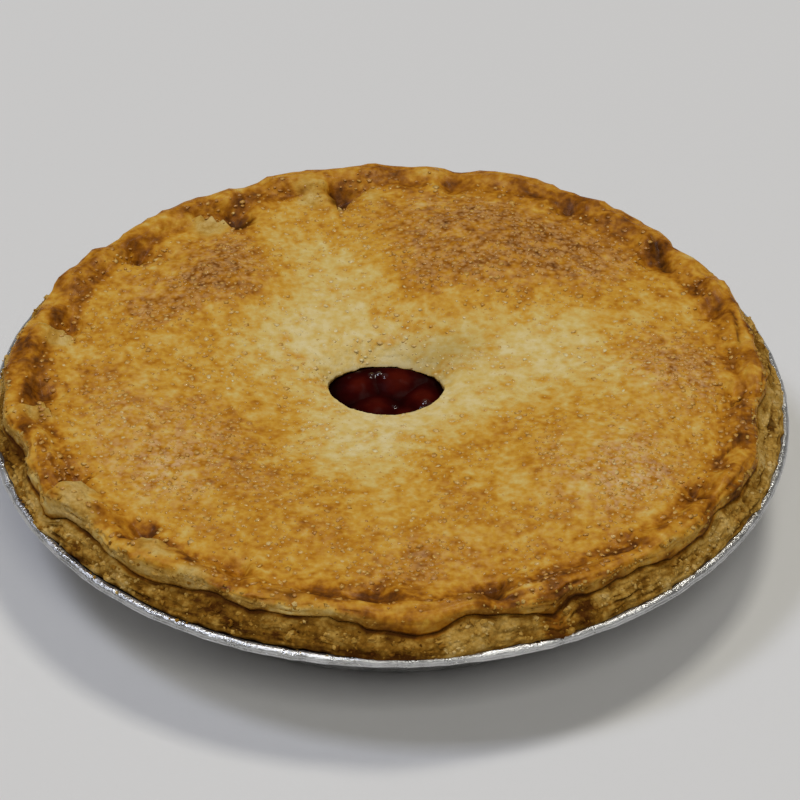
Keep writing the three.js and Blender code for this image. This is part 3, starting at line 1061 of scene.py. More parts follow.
# Pale sugar dust on the crust; its specks are partly real sugar and partly painted glints and sheen
DUST_AND_GLINT_STOPS = (
    (0.00, (0.74, 0.62, 0.36)),
    (0.35, (0.76, 0.59, 0.43)),
    (0.62, (0.62, 0.36, 0.14)),
    (1.00, (0.42, 0.19, 0.06)),
)
FRUIT_STOPS = (
    (0.00, (0.006, 0.0004, 0.0003)),
    (0.45, (0.026, 0.0010, 0.0006)),
    (1.00, (0.075, 0.006, 0.002)),
)
FOIL_STOPS = (
    (0.2, (0.42, 0.42, 0.41)),
    (0.8, (0.86, 0.86, 0.86)),
)
# Painted shade: the dark brown that the shade attribute mixes into the pastry in creases, pockets, slits
# and cracks
PAINTED_SHADE_BROWN = (0.045, 0.017, 0.003)
JUICE = (0.060, 0.005, 0.004)
# Painted shade on the foil's flange, in the gap under the band's foot
PAINTED_FOIL_SHADE = (0.03, 0.018, 0.010)


@dataclass(frozen=True)
class PastryFinish:
    """Baked pastry: glazed and mottled where it browned, matt and crumbly where dough is bare."""

    name: str
    roughness: float
    glaze: float
    bump: float

    def make(self) -> bpy.types.Material:
        """Builds the material, which reads the attributes bake, bare, shade, juice and sugar.

        Returns:
            The material.
        """
        sheet = Sheet(self.name)
        bake = sheet.attribute("bake")
        bare = sheet.attribute("bare").held()
        sugar = sheet.attribute("sugar").held()
        broad = sheet.noise(6.0, 1.0) - 0.5
        clumps = sheet.noise(3.4, 1.0) - 0.5
        spots = sheet.noise(1.9, 2.0, 0.5) - 0.5
        beads = (1.0 - sheet.pits(1.6).step(0.10, 0.75)) * sugar
        plainly = bake.held() * (1.0 - sugar) * 0.45
        uneven = broad * 0.40 + clumps * (sugar * 0.56 + 0.26) + spots * (plainly + 0.34)
        # Browned crust, paler under each lump of sugar and dusted with it, the dust's pale specks being
        # partly painted glints and sheen
        glazed = sheet.ramp((bake + uneven + sugar * 0.05 - beads * 0.10).held(), CRUST_STOPS)
        dust_and_glints = sheet.noise(1.8, 1.0).step(0.42, 0.66) * sugar
        dust_and_glint_colour = sheet.ramp(bake.held(), DUST_AND_GLINT_STOPS)
        sugared = sheet.mix((beads * 0.22 + dust_and_glints * 0.46).held(), glazed, dust_and_glint_colour)
        # Bare dough, torn into crumbs
        crumbs = sheet.noise(2.3, 5.0, 0.62)
        grit = sheet.pits(1.15)
        dough_tone = bake * 0.9 + (crumbs - 0.5) * 0.75 + (grit - 0.45) * 0.22 + clumps * 0.5
        dough = sheet.ramp(dough_tone.held(), DOUGH_STOPS)
        plain = sheet.mix(bare, sugared, dough)
        stained = sheet.mix(sheet.attribute("juice").held(), plain, JUICE)
        # Painted shade: the shade attribute darkens creases, pockets, slits and the crack towards dark
        # brown
        colour = sheet.mix(sheet.attribute("shade").held(), stained, PAINTED_SHADE_BROWN)
        # How it shines, and how it feels
        rough = self.roughness + spots * 0.25 + bare * 0.3
        sheet.set(Base_Color=colour, Roughness=rough.held(), IOR=1.45, Specular_IOR_Level=0.08)
        glossy = (1.0 - bare) * bake.step(0.12, 0.42) * self.glaze
        sheet.set(Coat_Weight=glossy.held(), Coat_Roughness=0.17)
        height = spots * 1.5 + clumps * 2.4 + (crumbs * 2.4 - grit * 1.3) * bare + beads * 1.0
        sheet.bump(height, self.bump)
        return sheet.material


@dataclass(frozen=True)
class SugarFinish:
    """Baked sugar: glassy grains from milky to amber."""

    name: str

    def make(self) -> bpy.types.Material:
        """Builds the material, which reads the attribute tone.

        Returns:
            The material.
        """
        sheet = Sheet(self.name)
        cloudy = sheet.noise(0.6, 2.0) - 0.5
        colour = sheet.ramp((sheet.attribute("tone") + cloudy * 0.3).held(), SUGAR_STOPS)
        sheet.set(Base_Color=colour, Roughness=(0.31 + cloudy * 0.5).held(), IOR=1.5)
        sheet.set(Specular_IOR_Level=0.45)
        sheet.bump(cloudy + 0.5, 0.06)
        return sheet.material


@dataclass(frozen=True)
class CherryFinish:
    """Cherries in gelled juice: very dark, red where they are thin, and wet."""

    name: str

    def make(self) -> bpy.types.Material:
        """Builds the material, which reads the attributes flesh and wet.

        Returns:
            The material.
        """
        sheet = Sheet(self.name)
        cloudy = sheet.noise(4.0, 3.0) - 0.5
        tone = (sheet.attribute("flesh") * 0.8 + cloudy * 0.6).held()
        sheet.set(Base_Color=sheet.ramp(tone, FRUIT_STOPS), Roughness=0.35, IOR=1.36)
        sheet.set(Specular_IOR_Level=0.02, Coat_Weight=sheet.attribute("wet").held(), Coat_Roughness=0.08)
        sheet.bump(sheet.noise(3.2, 1.0, 0.5), 0.25)
        return sheet.material


@dataclass(frozen=True)
class FoilFinish:
    """Bright aluminium foil with fine creases and rolling marks, darkened with painted shade on the flange
    under the crust's foot.
    """

    name: str

    def make(self) -> bpy.types.Material:
        """Builds the material, which reads the attribute stain, the painted shade.

        Returns:
            The material.
        """
        sheet = Sheet(self.name)
        haze = sheet.noise(7.0, 3.0)
        creases = sheet.noise(0.9, 3.0, 0.65)
        # The stain attribute is painted shade: the foil goes dark and loses its metal look there
        stain = sheet.attribute("stain").held()
        bright = sheet.ramp(haze, FOIL_STOPS)
        sheet.set(Base_Color=sheet.mix(stain, bright, PAINTED_FOIL_SHADE))
        sheet.set(Metallic=(1.0 - stain).held(), Roughness=(haze * 0.26 + 0.15 + stain * 0.4).held())
        sheet.set(Specular_IOR_Level=0.10)
        sheet.bump(creases + haze, 0.36)
        return sheet.material


@dataclass(frozen=True)
class TableFinish:
    """A plain pale tabletop, satin, with the faintest unevenness."""

    name: str
    pale: Colour
    grey: Colour

    def make(self) -> bpy.types.Material:
        """Builds the material.

        Returns:
            The material.
        """
        sheet = Sheet(self.name)
        cloudy = sheet.noise(180.0, 2.0)
        fine = sheet.noise(1.2, 2.0)
        sheet.set(Base_Color=sheet.mix(cloudy, self.pale, self.grey), Roughness=0.6)
        sheet.set(Specular_IOR_Level=0.25)
        sheet.bump(fine, 0.02)
        return sheet.material


# The lid


# Where the lid stayed pale, where it browned more, where shade is painted on it and where sugar is thick
PALE_PATCHES = marks(
    Patch, (0, 3, 26, 0.3), (-26, 26, 20, 0.24), (46, 13, 22, 0.24), (-10, -30, 19, 0.18),
    (-12, 54, 14, 0.14), (24, -14, 14, 0.1), (-40, 4, 14, 0.08), (-22, 45, 12, 0.06), (-26, 66, 12, 0.12),
)
BROWN_PATCHES = marks(
    Patch, (22, 74, 26, 0.13), (52, 62, 22, 0.145), (8, 50, 13, 0.12), (-50, 47, 16, 0.24),
    (-68, 34, 12, 0.12), (86, 10, 15, 0.06), (66, -40, 20, -0.05), (-42, -34, 16, 0.12),
    (-38, -70, 18, 0.05), (30, -22, 8, 0.1), (20, -92, 26, 0.1), (-84, 0, 16, 0.06),
)
DIM_PATCHES = marks(Patch, (10, 13.5, 10, 0.21), (20, 17, 8, 0.15), (-17, 3, 3, 0.1))
SUGAR_PATCHES = marks(
    Patch, (64, -46, 20, 0.75), (84, 4, 15, 0.85), (-62, -36, 22, 0.7), (-84, -6, 14, 0.3),
)


@dataclass(frozen=True)
class TopCrust:
    """The pastry lid: a browned, sugared top, a rim pinched by hand and an oval vent hole."""

    meridians: int = 860
    edge_stations: int = 22
    top_stations: int = 86
    wall_stations: int = 4
    under_radii: tuple[float, ...] = (24.0, 97.0)
    ceiling: float = 42.70
    lump: float = 0.32
    blister: float = 0.20
    crag: float = 0.62
    edge_swell: float = 0.40
    back_swell: float = 1.2
    crumble: float = 0.85
    golden: float = 0.38
    ring_bake: float = 0.14
    rim_start: float = 93.0
    rim_full: float = 102.0
    rim_bake: float = 0.16
    rim_blotch: float = 0.13
    thinnest_sugar: float = 0.05
    clump_size: float = 9.0
    crag_size: float = 4.6
    mean_lump: float = 0.42
    smooth_width: float = 16.0
    browned_angle: float = 335.0
    browned_width: float = 85.0
    hidden_start: Span = (14.0, 30.0)
    hidden_end: Span = (184.0, 200.0)
    under_insets: tuple[float, ...] = (2.6, 0.5)
    stained_lip: tuple[float, ...] = (0.03, 0.08, 0.15, 0.25, 0.40)
    sharp: float = 70.0

    @property
    def stations(self) -> int:
        """How many places the lid's section has."""
        outside = self.edge_stations + self.top_stations + self.wall_stations
        return outside + len(self.under_radii) + len(self.under_insets)

    def bake(self, x: Array, y: Array) -> Array:
        """How brown the lid's top is at plan positions, from 0 to 1.

        Args:
            x, y: plan positions.

        Returns:
            How brown each place is.
        """
        radius = np.hypot(x, y)
        tone = self.golden + 0.05 * GRAIN_BAKE.cloud(level(x, y), 17.0, 3)
        tone = tone - sum(patch.over(x, y) for patch in PALE_PATCHES)
        tone = tone + sum(patch.over(x, y) for patch in BROWN_PATCHES)
        blotch = GRAIN_BAKE.cloud(level(x, y, 338.0), 7.5, 3) + 0.9 * GRAIN_BAKE.at(level(x, y, 388.0), 2.4)
        rim = smoothstep(radius, self.rim_start, self.rim_full)
        tone = tone + (self.rim_bake + self.rim_blotch * blotch) * rim
        relief = FORM.crimp_relief(np.arctan2(y, x), radius)
        # Browner in the pockets, partly browning and partly painted shade, and paler on the crests of the
        # folds
        return tone + np.clip(-relief, 0, 4) * 0.025 - np.clip(relief, 0, 2) * 0.10

    def sugar_clumps(self, x: Array, y: Array) -> Array:
        """How the sugar fell in clumps over plan positions, from about -1 to 1."""
        return GRAIN_BAKE.cloud(level(x, y, 238.0), self.clump_size, 2)

    def sugar_crust(self, x: Array, y: Array) -> Array:
        """How thickly sugar baked on to the lid at plan positions, from 0 to 1.

        Args:
            x, y: plan positions.

        Returns:
            How thick it is at each place.
        """
        bake = self.bake(x, y)
        inland = 1 - 0.85 * smoothstep(np.hypot(x, y), 86, 98)
        heaped = sum(patch.over(x, y) for patch in SUGAR_PATCHES)
        brown = np.maximum(smoothstep(bake, 0.36, 0.58), heaped)
        thick = 0.30 * (1 - smoothstep(bake, 0.05, 0.3)) + brown * inland
        return np.clip(thick * (1 + 0.7 * self.sugar_clumps(x, y)), self.thinnest_sugar, 1)

    def detail(self, x: Array, y: Array) -> Array:
        """Height of the fine relief of the lid's top over its form.

        Args:
            x, y: plan positions.

        Returns:
            The height at each.
        """
        flat = level(x, y)
        radius = np.hypot(x, y)
        lumps = self.lump * GRAIN_LID.cloud(flat, 15.0, 2)
        rough = 0.45 + 2.2 * np.clip(self.bake(x, y) - 0.35, 0, 0.4)
        blisters = self.blister * GRAIN_LID.cloud(flat + 60.0, 3.4, 3) * rough * 1.6
        smooth_front = FORM.smooth_front(np.arctan2(y, x), radius, 14)
        crags = 0.7 * GRAIN_LID.cloud(flat + 120.0, 7.5, 3) + GRAIN_LID.lumps(flat + 140.0, self.crag_size)
        crags = (crags - self.mean_lump) * smoothstep(radius, 94, 103)
        return lumps + blisters + self.crag * crags * (1 - 0.7 * smooth_front) + RIM.relief(x, y)

    def top_height(self, x: Array, y: Array) -> Array:
        """Height of the finished top, for what lies on it.

        Args:
            x, y: plan positions.

        Returns:
            The height at each.
        """
        theta, outward = FORM.from_vent(x, y)
        height = FORM.lip_height(theta, x, y, np.maximum(outward, 0)) + self.detail(x, y)
        return np.minimum(height, self.ceiling)

    def edge_places(self, theta: Array, share: Array) -> Array:
        """Places on the outer edge, from the crack at share 1 up to the shoulder at share 0.

        Args:
            theta: angles round the pie.
            share: how far down the edge each place is.

        Returns:
            The places.
        """
        shoulder = FORM.lid_edge(theta) - FORM.edge_shoulder
        x, y = shoulder * np.cos(theta), shoulder * np.sin(theta)
        high = FORM.lid_top(x, y) + self.detail(x, y)
        ragged = GRAIN_EDGE.cloud(polar(theta, FORM.edge, 90.0), 2.6, 2)
        low = FORM.crack(theta) + FORM.crack_opening * (0.6 + 0.6 * np.clip(ragged, -0.8, 2))
        degrees = np.degrees(theta) % 360
        hidden = smoothstep(degrees, *self.hidden_start) * (1 - smoothstep(degrees, *self.hidden_end))
        swell = self.edge_swell + self.back_swell * hidden
        swell = swell * np.sin(math.pi * share)
        radius = blend(shoulder, FORM.crack_radius(theta), share**0.6) + swell
        height = blend(high, low, share**1.5)
        places = polar(theta, radius, height)
        crumbs = 0.5 * GRAIN_EDGE.cloud(places, 5.0, 4) + 1.7 * (self.edge_lumps(places) - self.mean_lump)
        smooth_front = FORM.smooth_front(theta, FORM.edge, self.smooth_width)
        amount = self.crumble * np.sin(math.pi * share) ** 0.6
        amount = amount * (1 - 0.75 * smooth_front) * (1 - 0.5 * hidden)
        return polar(theta, radius + amount * crumbs, height + 0.3 * amount * crumbs)

    def edge_lumps(self, places: Array) -> Array:
        """How far each place of the edge stands out of the creases between its crumbs."""
        return GRAIN_EDGE.lumps(places * (1, 1, 1.4) + 60.0, 3.0)

    def build(self, grains: Array) -> bpy.types.Object:
        """Shapes the lid and gives it its colours.

        Args:
            grains: where the coarse sugar lies, which browned the crust round it.

        Returns:
            The lid.
        """
        turned = TurnedPiece(self.stations, self.meridians)
        theta = turned.angles()
        # The edge, from the crack up to the shoulder
        share = np.linspace(1, 0, self.edge_stations)[:, None] + 0 * theta
        edge = self.edge_places(theta + 0 * share, share)
        # The top, inwards from the shoulder to the vent's outline
        notches = 0.30 * GRAIN_LID.cloud(polar(theta, 15.0, 70.0), 3.2, 2)
        teeth = np.clip(GRAIN_LID.at(polar(theta, 15.0, 75.0), 0.9) - 0.25, 0, 1)
        notches = notches - 0.9 * teeth * FORM.front(theta)
        vent = FORM.vent_radius(theta) + notches
        inner = np.stack([FORM.vent_x + vent * np.cos(theta), FORM.vent_y + vent * np.sin(theta)], -1)
        shoulder = FORM.lid_edge(theta) - FORM.edge_shoulder
        outer = np.stack([shoulder * np.cos(theta), shoulder * np.sin(theta)], -1)
        plan = outer + (inner - outer) * self.top_shares()[:, None, None]
        x, y = plan[..., 0], plan[..., 1]
        outward = np.hypot(x - inner[..., 0], y - inner[..., 1])
        height = FORM.lip_height(theta + 0 * x, x, y, outward) + self.detail(x, y)
        dx, dy = RIM.lean(x, y)
        top = np.stack([x + dx, y + dy, np.minimum(height, self.ceiling)], -1)
        # The hole's wall, down to the underside
        wall = self.wall_places(theta, inner, height[-1])
        # The underside, back out to the crack
        last = FORM.crack_radius(theta)
        radii = [radius + 0 * theta for radius in self.under_radii]
        radii += [last - inset for inset in self.under_insets]
        under_radius = np.concatenate(radii)
        under = polar(theta, under_radius, FORM.parting(theta, under_radius) + FORM.gap / 2)
        turned.shape(np.concatenate([edge, top, wall, under]))
        self.colour(turned, np.concatenate([edge, np.stack([x, y, height], -1)]), theta, grains)
        return turned.piece

    def top_shares(self) -> Array:
        """Shares of the way from shoulder to vent, closest together at the rim and the lip."""
        steps = np.linspace(0, 1, self.top_stations + 1)[1:]
        return np.interp(steps, (0, 0.42, 0.90, 1), (0, 0.225, 0.94, 1))

    def wall_places(self, theta: Array, inner: Array, lip: Array) -> Array:
        """Places on the vent's wall.

        Args:
            theta: the angle of each meridian.
            inner: plan positions of the vent's outline.
            lip: height of the top at that outline.

        Returns:
            The places.
        """
        share = np.linspace(0, 1, self.wall_stations + 1)[1:, None]
        low = FORM.plain_parting(np.hypot(inner[..., 0], inner[..., 1])) + FORM.gap / 2
        height = blend(lip[None, :], low, share)
        inset = -0.25 * np.sin(math.pi * share) + 0.3 * share
        plain = np.stack([inner[..., 0] + 0 * height, inner[..., 1] + 0 * height, height], -1)
        crumbs = 0.25 * GRAIN_EDGE.cloud(plain, 1.8, 2) * np.sin(math.pi * share)
        x = inner[..., 0] + (inset + crumbs) * np.cos(theta)
        y = inner[..., 1] + (inset + crumbs) * np.sin(theta)
        return np.stack([x, y, height], -1)

    def colour(self, turned: TurnedPiece, places: Array, theta: Array, grains: Array) -> None:
        """Keeps how brown, bare and juicy each place of the lid is, and its painted shade.

        Args:
            turned: the lid's primitive.
            places: places of its edge and top before they were leaned over.
            theta: the angle of each meridian.
            grains: where the coarse sugar lies.
        """
        edges, tops = self.edge_stations, self.edge_stations + self.top_stations
        walls = tops + self.wall_stations
        shape = (self.stations, self.meridians)
        bake = np.full(shape, 0.25)
        bare, shade, juice, sugar = (np.zeros(shape) for _ in range(4))
        x, y = places[..., 0], places[..., 1]
        more_bake, more_bare, more_shade = RIM.tones(x, y)
        # Painted shade in the dip behind the vent
        more_shade = more_shade + sum(patch.over(x, y) for patch in DIM_PATCHES)
        sugar[:tops] = self.sugar_crust(x, y) * np.clip(1 - 1.5 * more_bare - 2 * more_shade, 0, 1)
        bake[:tops] = np.minimum(self.bake(x, y) + more_bake, 0.97)
        bare[:tops] = more_bare
        shade[:tops] = more_shade
        share = np.linspace(1, 0, edges)[:, None]
        blotch = GRAIN_BAKE.cloud(places[:edges] + 150.0, 6.0, 3)
        smooth_front = FORM.smooth_front(theta, FORM.edge, self.smooth_width)
        # Painted shade in the creases between the edge's crumbs, which are made browner and darker
        crease = 1 - smoothstep(self.edge_lumps(places[:edges]), 0.06, 0.34)
        crease = crease * (1 - 0.8 * smooth_front) * smoothstep(share, 0.05, 0.3)
        bake[:edges] += 0.10 * share + 0.22 * blotch * np.sin(math.pi * np.clip(share * 0.8, 0, 1))
        # The crack's borders browned and darkened, partly browning and partly painted shade
        crack = smoothstep(share, 0.92, 0.99) * FORM.tear(theta)
        browned = hill(FORM.arc(self.browned_angle, theta, FORM.edge), self.browned_width)
        browned = np.maximum(smooth_front, 0.75 * browned)
        below = smoothstep(share, 0.25, 0.6) * (1 - browned)
        bake[:edges] += 0.30 * crease + 0.55 * crack - 0.26 * below
        bare[:edges] += below * (0.66 + 0.5 * blotch) * (1 - 0.95 * crack)
        # Painted shade at the crack and in the creases
        shade[:edges] += 0.25 * smoothstep(share, 0.93, 1.0) + 0.16 * crease
        bake[edges:tops] += self.ring_bake * self.rings(places[edges:tops], grains)
        back = smoothstep(np.sin(theta), -0.2, 0.8)
        wall = np.linspace(0, 1, self.wall_stations + 1)[1:, None]
        bake[tops:walls] = 0.15 + 0.2 * wall
        juice[tops:walls] = 0.12 * back + 0.75 * smoothstep(wall, 0.25, 0.9)
        juice[tops - len(self.stained_lip):tops] = np.array(self.stained_lip)[:, None] * back
        bare[tops:] = 1.0
        turned.keep(bake=bake, bare=bare, shade=shade, juice=juice, sugar=sugar)

    def rings(self, places: Array, grains: Array) -> Array:
        """How much the crust browned beside each grain of coarse sugar, from 0 to 1.

        Args:
            places: places on the lid's top.
            grains: where the coarse sugar lies.

        Returns:
            How much each place browned.
        """
        tree = KDTree(len(grains))
        for index, (x, y, _) in enumerate(grains):
            tree.insert((x, y, 0.0), index)
        tree.balance()
        flat = places[..., :2].reshape(-1, 2)
        gaps = np.array([tree.find((x, y, 0.0))[2] for x, y in flat.tolist()])
        return hill(gaps - 0.95, 0.7).reshape(places.shape[:2])

    def make(self, grains: Array, finish: bpy.types.Material) -> None:
        """Builds the lid and dresses it.

        Args:
            grains: where the coarse sugar lies.
            finish: browned pastry.
        """
        top = self.build(grains)
        dress(top, "top_crust_browned", finish)
        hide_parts("top_crust")
        smooth_over(top, self.sharp)


# What is scattered over the pie


class GrainShape(Enum):
    """The small shapes that sugar and crumbs are made of."""

    BEAD = "rounded grain"
    CRUMB = "broken crumb"


def template(shape: GrainShape) -> tuple[Array, Array]:
    """A small grain of radius 1, modelled once.

    Args:
        shape: which grain.

    Returns:
        Its vertices and its triangles.
    """
    start_clean()
    bpy.ops.mesh.primitive_ico_sphere_add(subdivisions=1, radius=1.0)
    piece = bpy.context.object
    if shape is GrainShape.CRUMB:
        broken = Matrix.Diagonal((1.15, 0.85, 0.95)).to_4x4() @ Matrix.Rotation(0.6, 4, (1, 1, 0))
        piece.data.transform(broken)
    corners = np.array([v.co[:] for v in piece.data.vertices])
    faces = np.array([p.vertices[:] for p in piece.data.polygons])
    bpy.data.objects.remove(piece, do_unlink=True)
    return corners, faces


def turns(draw: np.random.Generator, count: int) -> Array:
    """Random turns as 3 by 3 matrices.

    Args:
        draw: where the random numbers come from.
        count: how many turns.

    Returns:
        One matrix for each.
    """
    quads = draw.normal(size=(count, 4))
    quads /= np.linalg.norm(quads, axis=1, keepdims=True)
    w, x, y, z = quads.T
    rows = [
        [1 - 2 * (y * y + z * z), 2 * (x * y - z * w), 2 * (x * z + y * w)],
        [2 * (x * y + z * w), 1 - 2 * (x * x + z * z), 2 * (y * z - x * w)],
        [2 * (x * z - y * w), 2 * (y * z + x * w), 1 - 2 * (x * x + y * y)],
    ]
    return np.moveaxis(np.array(rows), -1, 0)


@dataclass(frozen=True)
class Scatter:
    """Many turned, stretched and uneven copies of one small grain, joined into one mesh."""

    name: str
    shape: GrainShape
    seed: int
    uneven: float
    squash: float

    def join(self, centres: Array, sizes: Array, tones: dict[str, Array]) -> bpy.types.Object:
        """Makes the mesh.

        Args:
            centres: where each copy goes, in millimetres.
            sizes: half sizes of each copy along its own axes.
            tones: attributes with one number for each copy.

        Returns:
            The joined object.
        """
        corners, faces = template(self.shape)
        draw = np.random.default_rng(self.seed)
        count = len(centres)
        bumpy = 1 + self.uneven * draw.uniform(-1, 1, (count, len(corners), 1))
        turned = np.einsum("nij,nkj->nki", turns(draw, count), corners[None] * sizes[:, None, :] * bumpy)
        turned[..., 2] *= self.squash
        placed = (turned + centres[:, None, :]) * MM
        links = faces[None] + np.arange(count)[:, None, None] * len(corners)
        mesh = bpy.data.meshes.new(self.name)
        mesh.from_pydata(placed.reshape(-1, 3).tolist(), [], links.reshape(-1, 3).tolist())
        mesh.polygons.foreach_set("use_smooth", np.full(count * len(faces), self.shape is GrainShape.BEAD))
        mesh.update()
        piece = bpy.data.objects.new(self.name, mesh)
        bpy.context.scene.collection.objects.link(piece)
        for name, values in tones.items():
            write_attribute(piece, name, np.repeat(values, len(corners)))
        LOG.info("%s: %d grains", self.name, count)
        return piece


def spaced(candidates: Array, distances: Array) -> Array:
    """Keeps the candidates that aren't too close to one kept before.

    Args:
        candidates: plan positions in order of preference.
        distances: how far each keeps from the others.

    Returns:
        The numbers of the kept ones.
    """
    size = float(distances.max())
    cells: dict[tuple[int, int], list[int]] = {}
    kept: list[int] = []
    columns = np.floor(candidates / size).astype(int).tolist()
    places = candidates.tolist()
    limits = (distances**2).tolist()
    for index, (x, y) in enumerate(places):
        column, row = columns[index]
        near = [other for dx in (-1, 0, 1) for dy in (-1, 0, 1)
                for other in cells.get((column + dx, row + dy), ())]
        if all((places[o][0] - x) ** 2 + (places[o][1] - y) ** 2 > limits[index] for o in near):
            kept.append(index)
            cells.setdefault((column, row), []).append(index)
    return np.array(kept)


@dataclass(frozen=True)
class Sugar:
    """Sugar baked on to the lid: where its grains lie, how large they are and how amber."""

    name: str
    tries: int
    smallest: float
    largest: float
    spacing: float
    on_brown: float
    on_pale: float
    seed: int
    sink: float
    uneven: float
    squash: float

    INNERMOST = 15.0
    OUTERMOST = 108.0
    VENT_CLEARANCE = 0.6

    def wanted(self, lid: TopCrust, x: Array, y: Array) -> Array:
        """How likely a grain is to lie at plan positions.

        Args:
            lid: the crust that the grains lie on.
            x, y: plan positions.

        Returns:
            The chance at each place.
        """
        brown = smoothstep(lid.bake(x, y), 0.28, 0.62) + sum(patch.over(x, y) for patch in SUGAR_PATCHES)
        wanted = blend(self.on_pale, self.on_brown, np.minimum(brown, 1))
        wanted = wanted * np.clip(0.85 + 1.5 * lid.sugar_clumps(x, y), 0.05, 2.4)
        pocket, _, dark = RIM.tones(x, y)
        radius = np.hypot(x, y)
        behind = smoothstep(radius, 99, 104) * smoothstep(y, -30, 10)
        wanted = wanted * (1 - 0.6 * smoothstep(radius, 88, 98) - 0.38 * behind)
        return wanted * np.clip(1 - 3 * pocket - 2 * dark, 0.08, 1)

    def lay(self, lid: TopCrust, first: Array) -> tuple[Array, Array, Array]:
        """Chooses where the grains lie.

        Args:
            lid: the crust that they lie on.
            first: plan positions and three half sizes of grains that are there already.

        Returns:
            Their centres, half sizes and how amber each is.
        """
        draw = np.random.default_rng(self.seed)
        radius = np.sqrt(draw.uniform(self.INNERMOST**2, self.OUTERMOST**2, self.tries))
        theta = draw.uniform(0, 2 * math.pi, self.tries)
        x, y = radius * np.cos(theta), radius * np.sin(theta)
        _, outward = FORM.from_vent(x, y)
        keep = draw.uniform(size=self.tries) < self.wanted(lid, x, y)
        keep &= outward > self.VENT_CLEARANCE
        keep &= radius < FORM.lid_edge(theta) - FORM.edge_shoulder
        chosen = np.flatnonzero(keep)
        sides = draw.uniform(self.smallest, self.largest, (len(chosen), 3)) / 2
        sides *= draw.uniform(0.75, 1.2, (len(chosen), 1))
        plan = np.concatenate([first[:, :2], np.stack([x, y], -1)[chosen]])
        sides = np.concatenate([first[:, 2:], sides])
        gaps = self.spacing * draw.uniform(0.6, 1.35, len(plan))
        kept = spaced(plan, gaps)
        plan, sides = plan[kept], sides[kept]
        angle = np.arctan2(plan[:, 1], plan[:, 0])
        limit = FORM.lid_edge(angle) - FORM.edge_shoulder - 0.3
        plan = plan * np.minimum(1, limit / np.hypot(plan[:, 0], plan[:, 1]))[:, None]
        height = lid.top_height(plan[:, 0], plan[:, 1]) + self.sink
        height = np.minimum(height, lid.ceiling - 0.9 * sides.max(axis=1))
        amber = lid.bake(plan[:, 0], plan[:, 1]) * 1.1 - 0.01 + draw.normal(0, 0.09, len(plan))
        return np.column_stack([plan, height]), sides, np.clip(amber, 0, 1)

    def make(self, centres: Array, sizes: Array, amber: Array, finish: bpy.types.Material) -> None:
        """Joins the grains into one piece and dresses it.

        Args:
            centres: where each grain lies.
            sizes: its half sizes.
            amber: how amber it is.
            finish: baked sugar.
        """
        scatter = Scatter(self.name, GrainShape.BEAD, self.seed, self.uneven, self.squash)
        grains = scatter.join(centres, sizes, {"tone": amber})
        dress(grains, self.name, finish)


COARSE_SUGAR = Sugar(
    name="coarse_sugar", tries=34000, smallest=1.05, largest=2.20, spacing=1.65, on_brown=0.85,
    on_pale=0.05, seed=5, sink=-0.15, uneven=0.34, squash=0.38)
FINE_SUGAR = Sugar(
    name="fine_sugar", tries=34000, smallest=0.50, largest=1.00, spacing=1.20, on_brown=0.35,
    on_pale=0.30, seed=6, sink=-0.09, uneven=0.32, squash=0.45)


def largest_grains() -> Array:
    """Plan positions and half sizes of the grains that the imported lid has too.

    Returns:
        Two positions and three half sizes in each row.
    """
    count, inner, outer, smallest, largest = 96, 22.0, 106.0, 1.2, 1.9
    golden_angle = math.pi * (3 - math.sqrt(5))
    rows = []
    for index in range(count):
        radius = math.sqrt(blend(inner**2, outer**2, (index + chance(index, 1)) / count))
        theta = index * golden_angle + 0.2 * chance(index, 2)
        sides = [0.45 * blend(smallest, largest, chance(index, stream)) for stream in (3, 4, 5)]
        rows.append([radius * math.cos(theta), radius * math.sin(theta), *sides])
    return np.array(rows)


# The bottom crust


# Blotches on the band, then the fine seams where its layers meet, browned and darkened with painted shade
BAND_STAINS = marks(
    Stain, (195, 32.5, 9, 3, 0.35), (203, 30.5, 5, 2, 0.15), (211, 31.5, 8, 3, -0.26),
    (221, 31, 5, 2.2, 0.34), (229, 32, 6, 2, -0.15), (236, 31.5, 7, 2, 0.22), (246, 31, 10, 2, -0.06),
    (257, 31, 12, 2.2, 0.06), (270.5, 31, 8, 4, 0.34), (281, 31, 8, 3, -0.22, 0, 0.2),
    (298.5, 32, 4, 4, 0.62), (268, 31, 22, 4, 0.1), (285.5, 29.6, 3, 1.4, 0.42), (293.6, 31, 3.2, 4, 0.5),
    (304, 31, 6, 3, 0.1), (314, 31, 12, 3.5, -0.16), (331, 31, 9, 2.5, 0.05), (345, 32, 12, 3, -0.1),
    (0, 31.5, 10, 3, -0.16), (13, 33, 8, 2, 0.2),
)
BAND_SEAMS = marks(
    Stain, (305, 32.4, 4.5, 0.28, 0.45, 0, -0.5), (352, 33, 7.5, 0.28, 0.45, 0, -0.5),
    (215.5, 31.6, 5, 0.3, 0.4, 0, -0.5), (341, 32.6, 8, 0.22, 0.3, 0, -0.35),
    (6, 32.4, 8, 0.22, 0.3, 0, -0.35), (233, 31.2, 4, 0.3, 0.3, 0, -0.4),
    (249, 32, 5, 0.25, 0.3, 0, -0.35), (198, 31, 4, 0.3, 0.3, 0, -0.4),
)


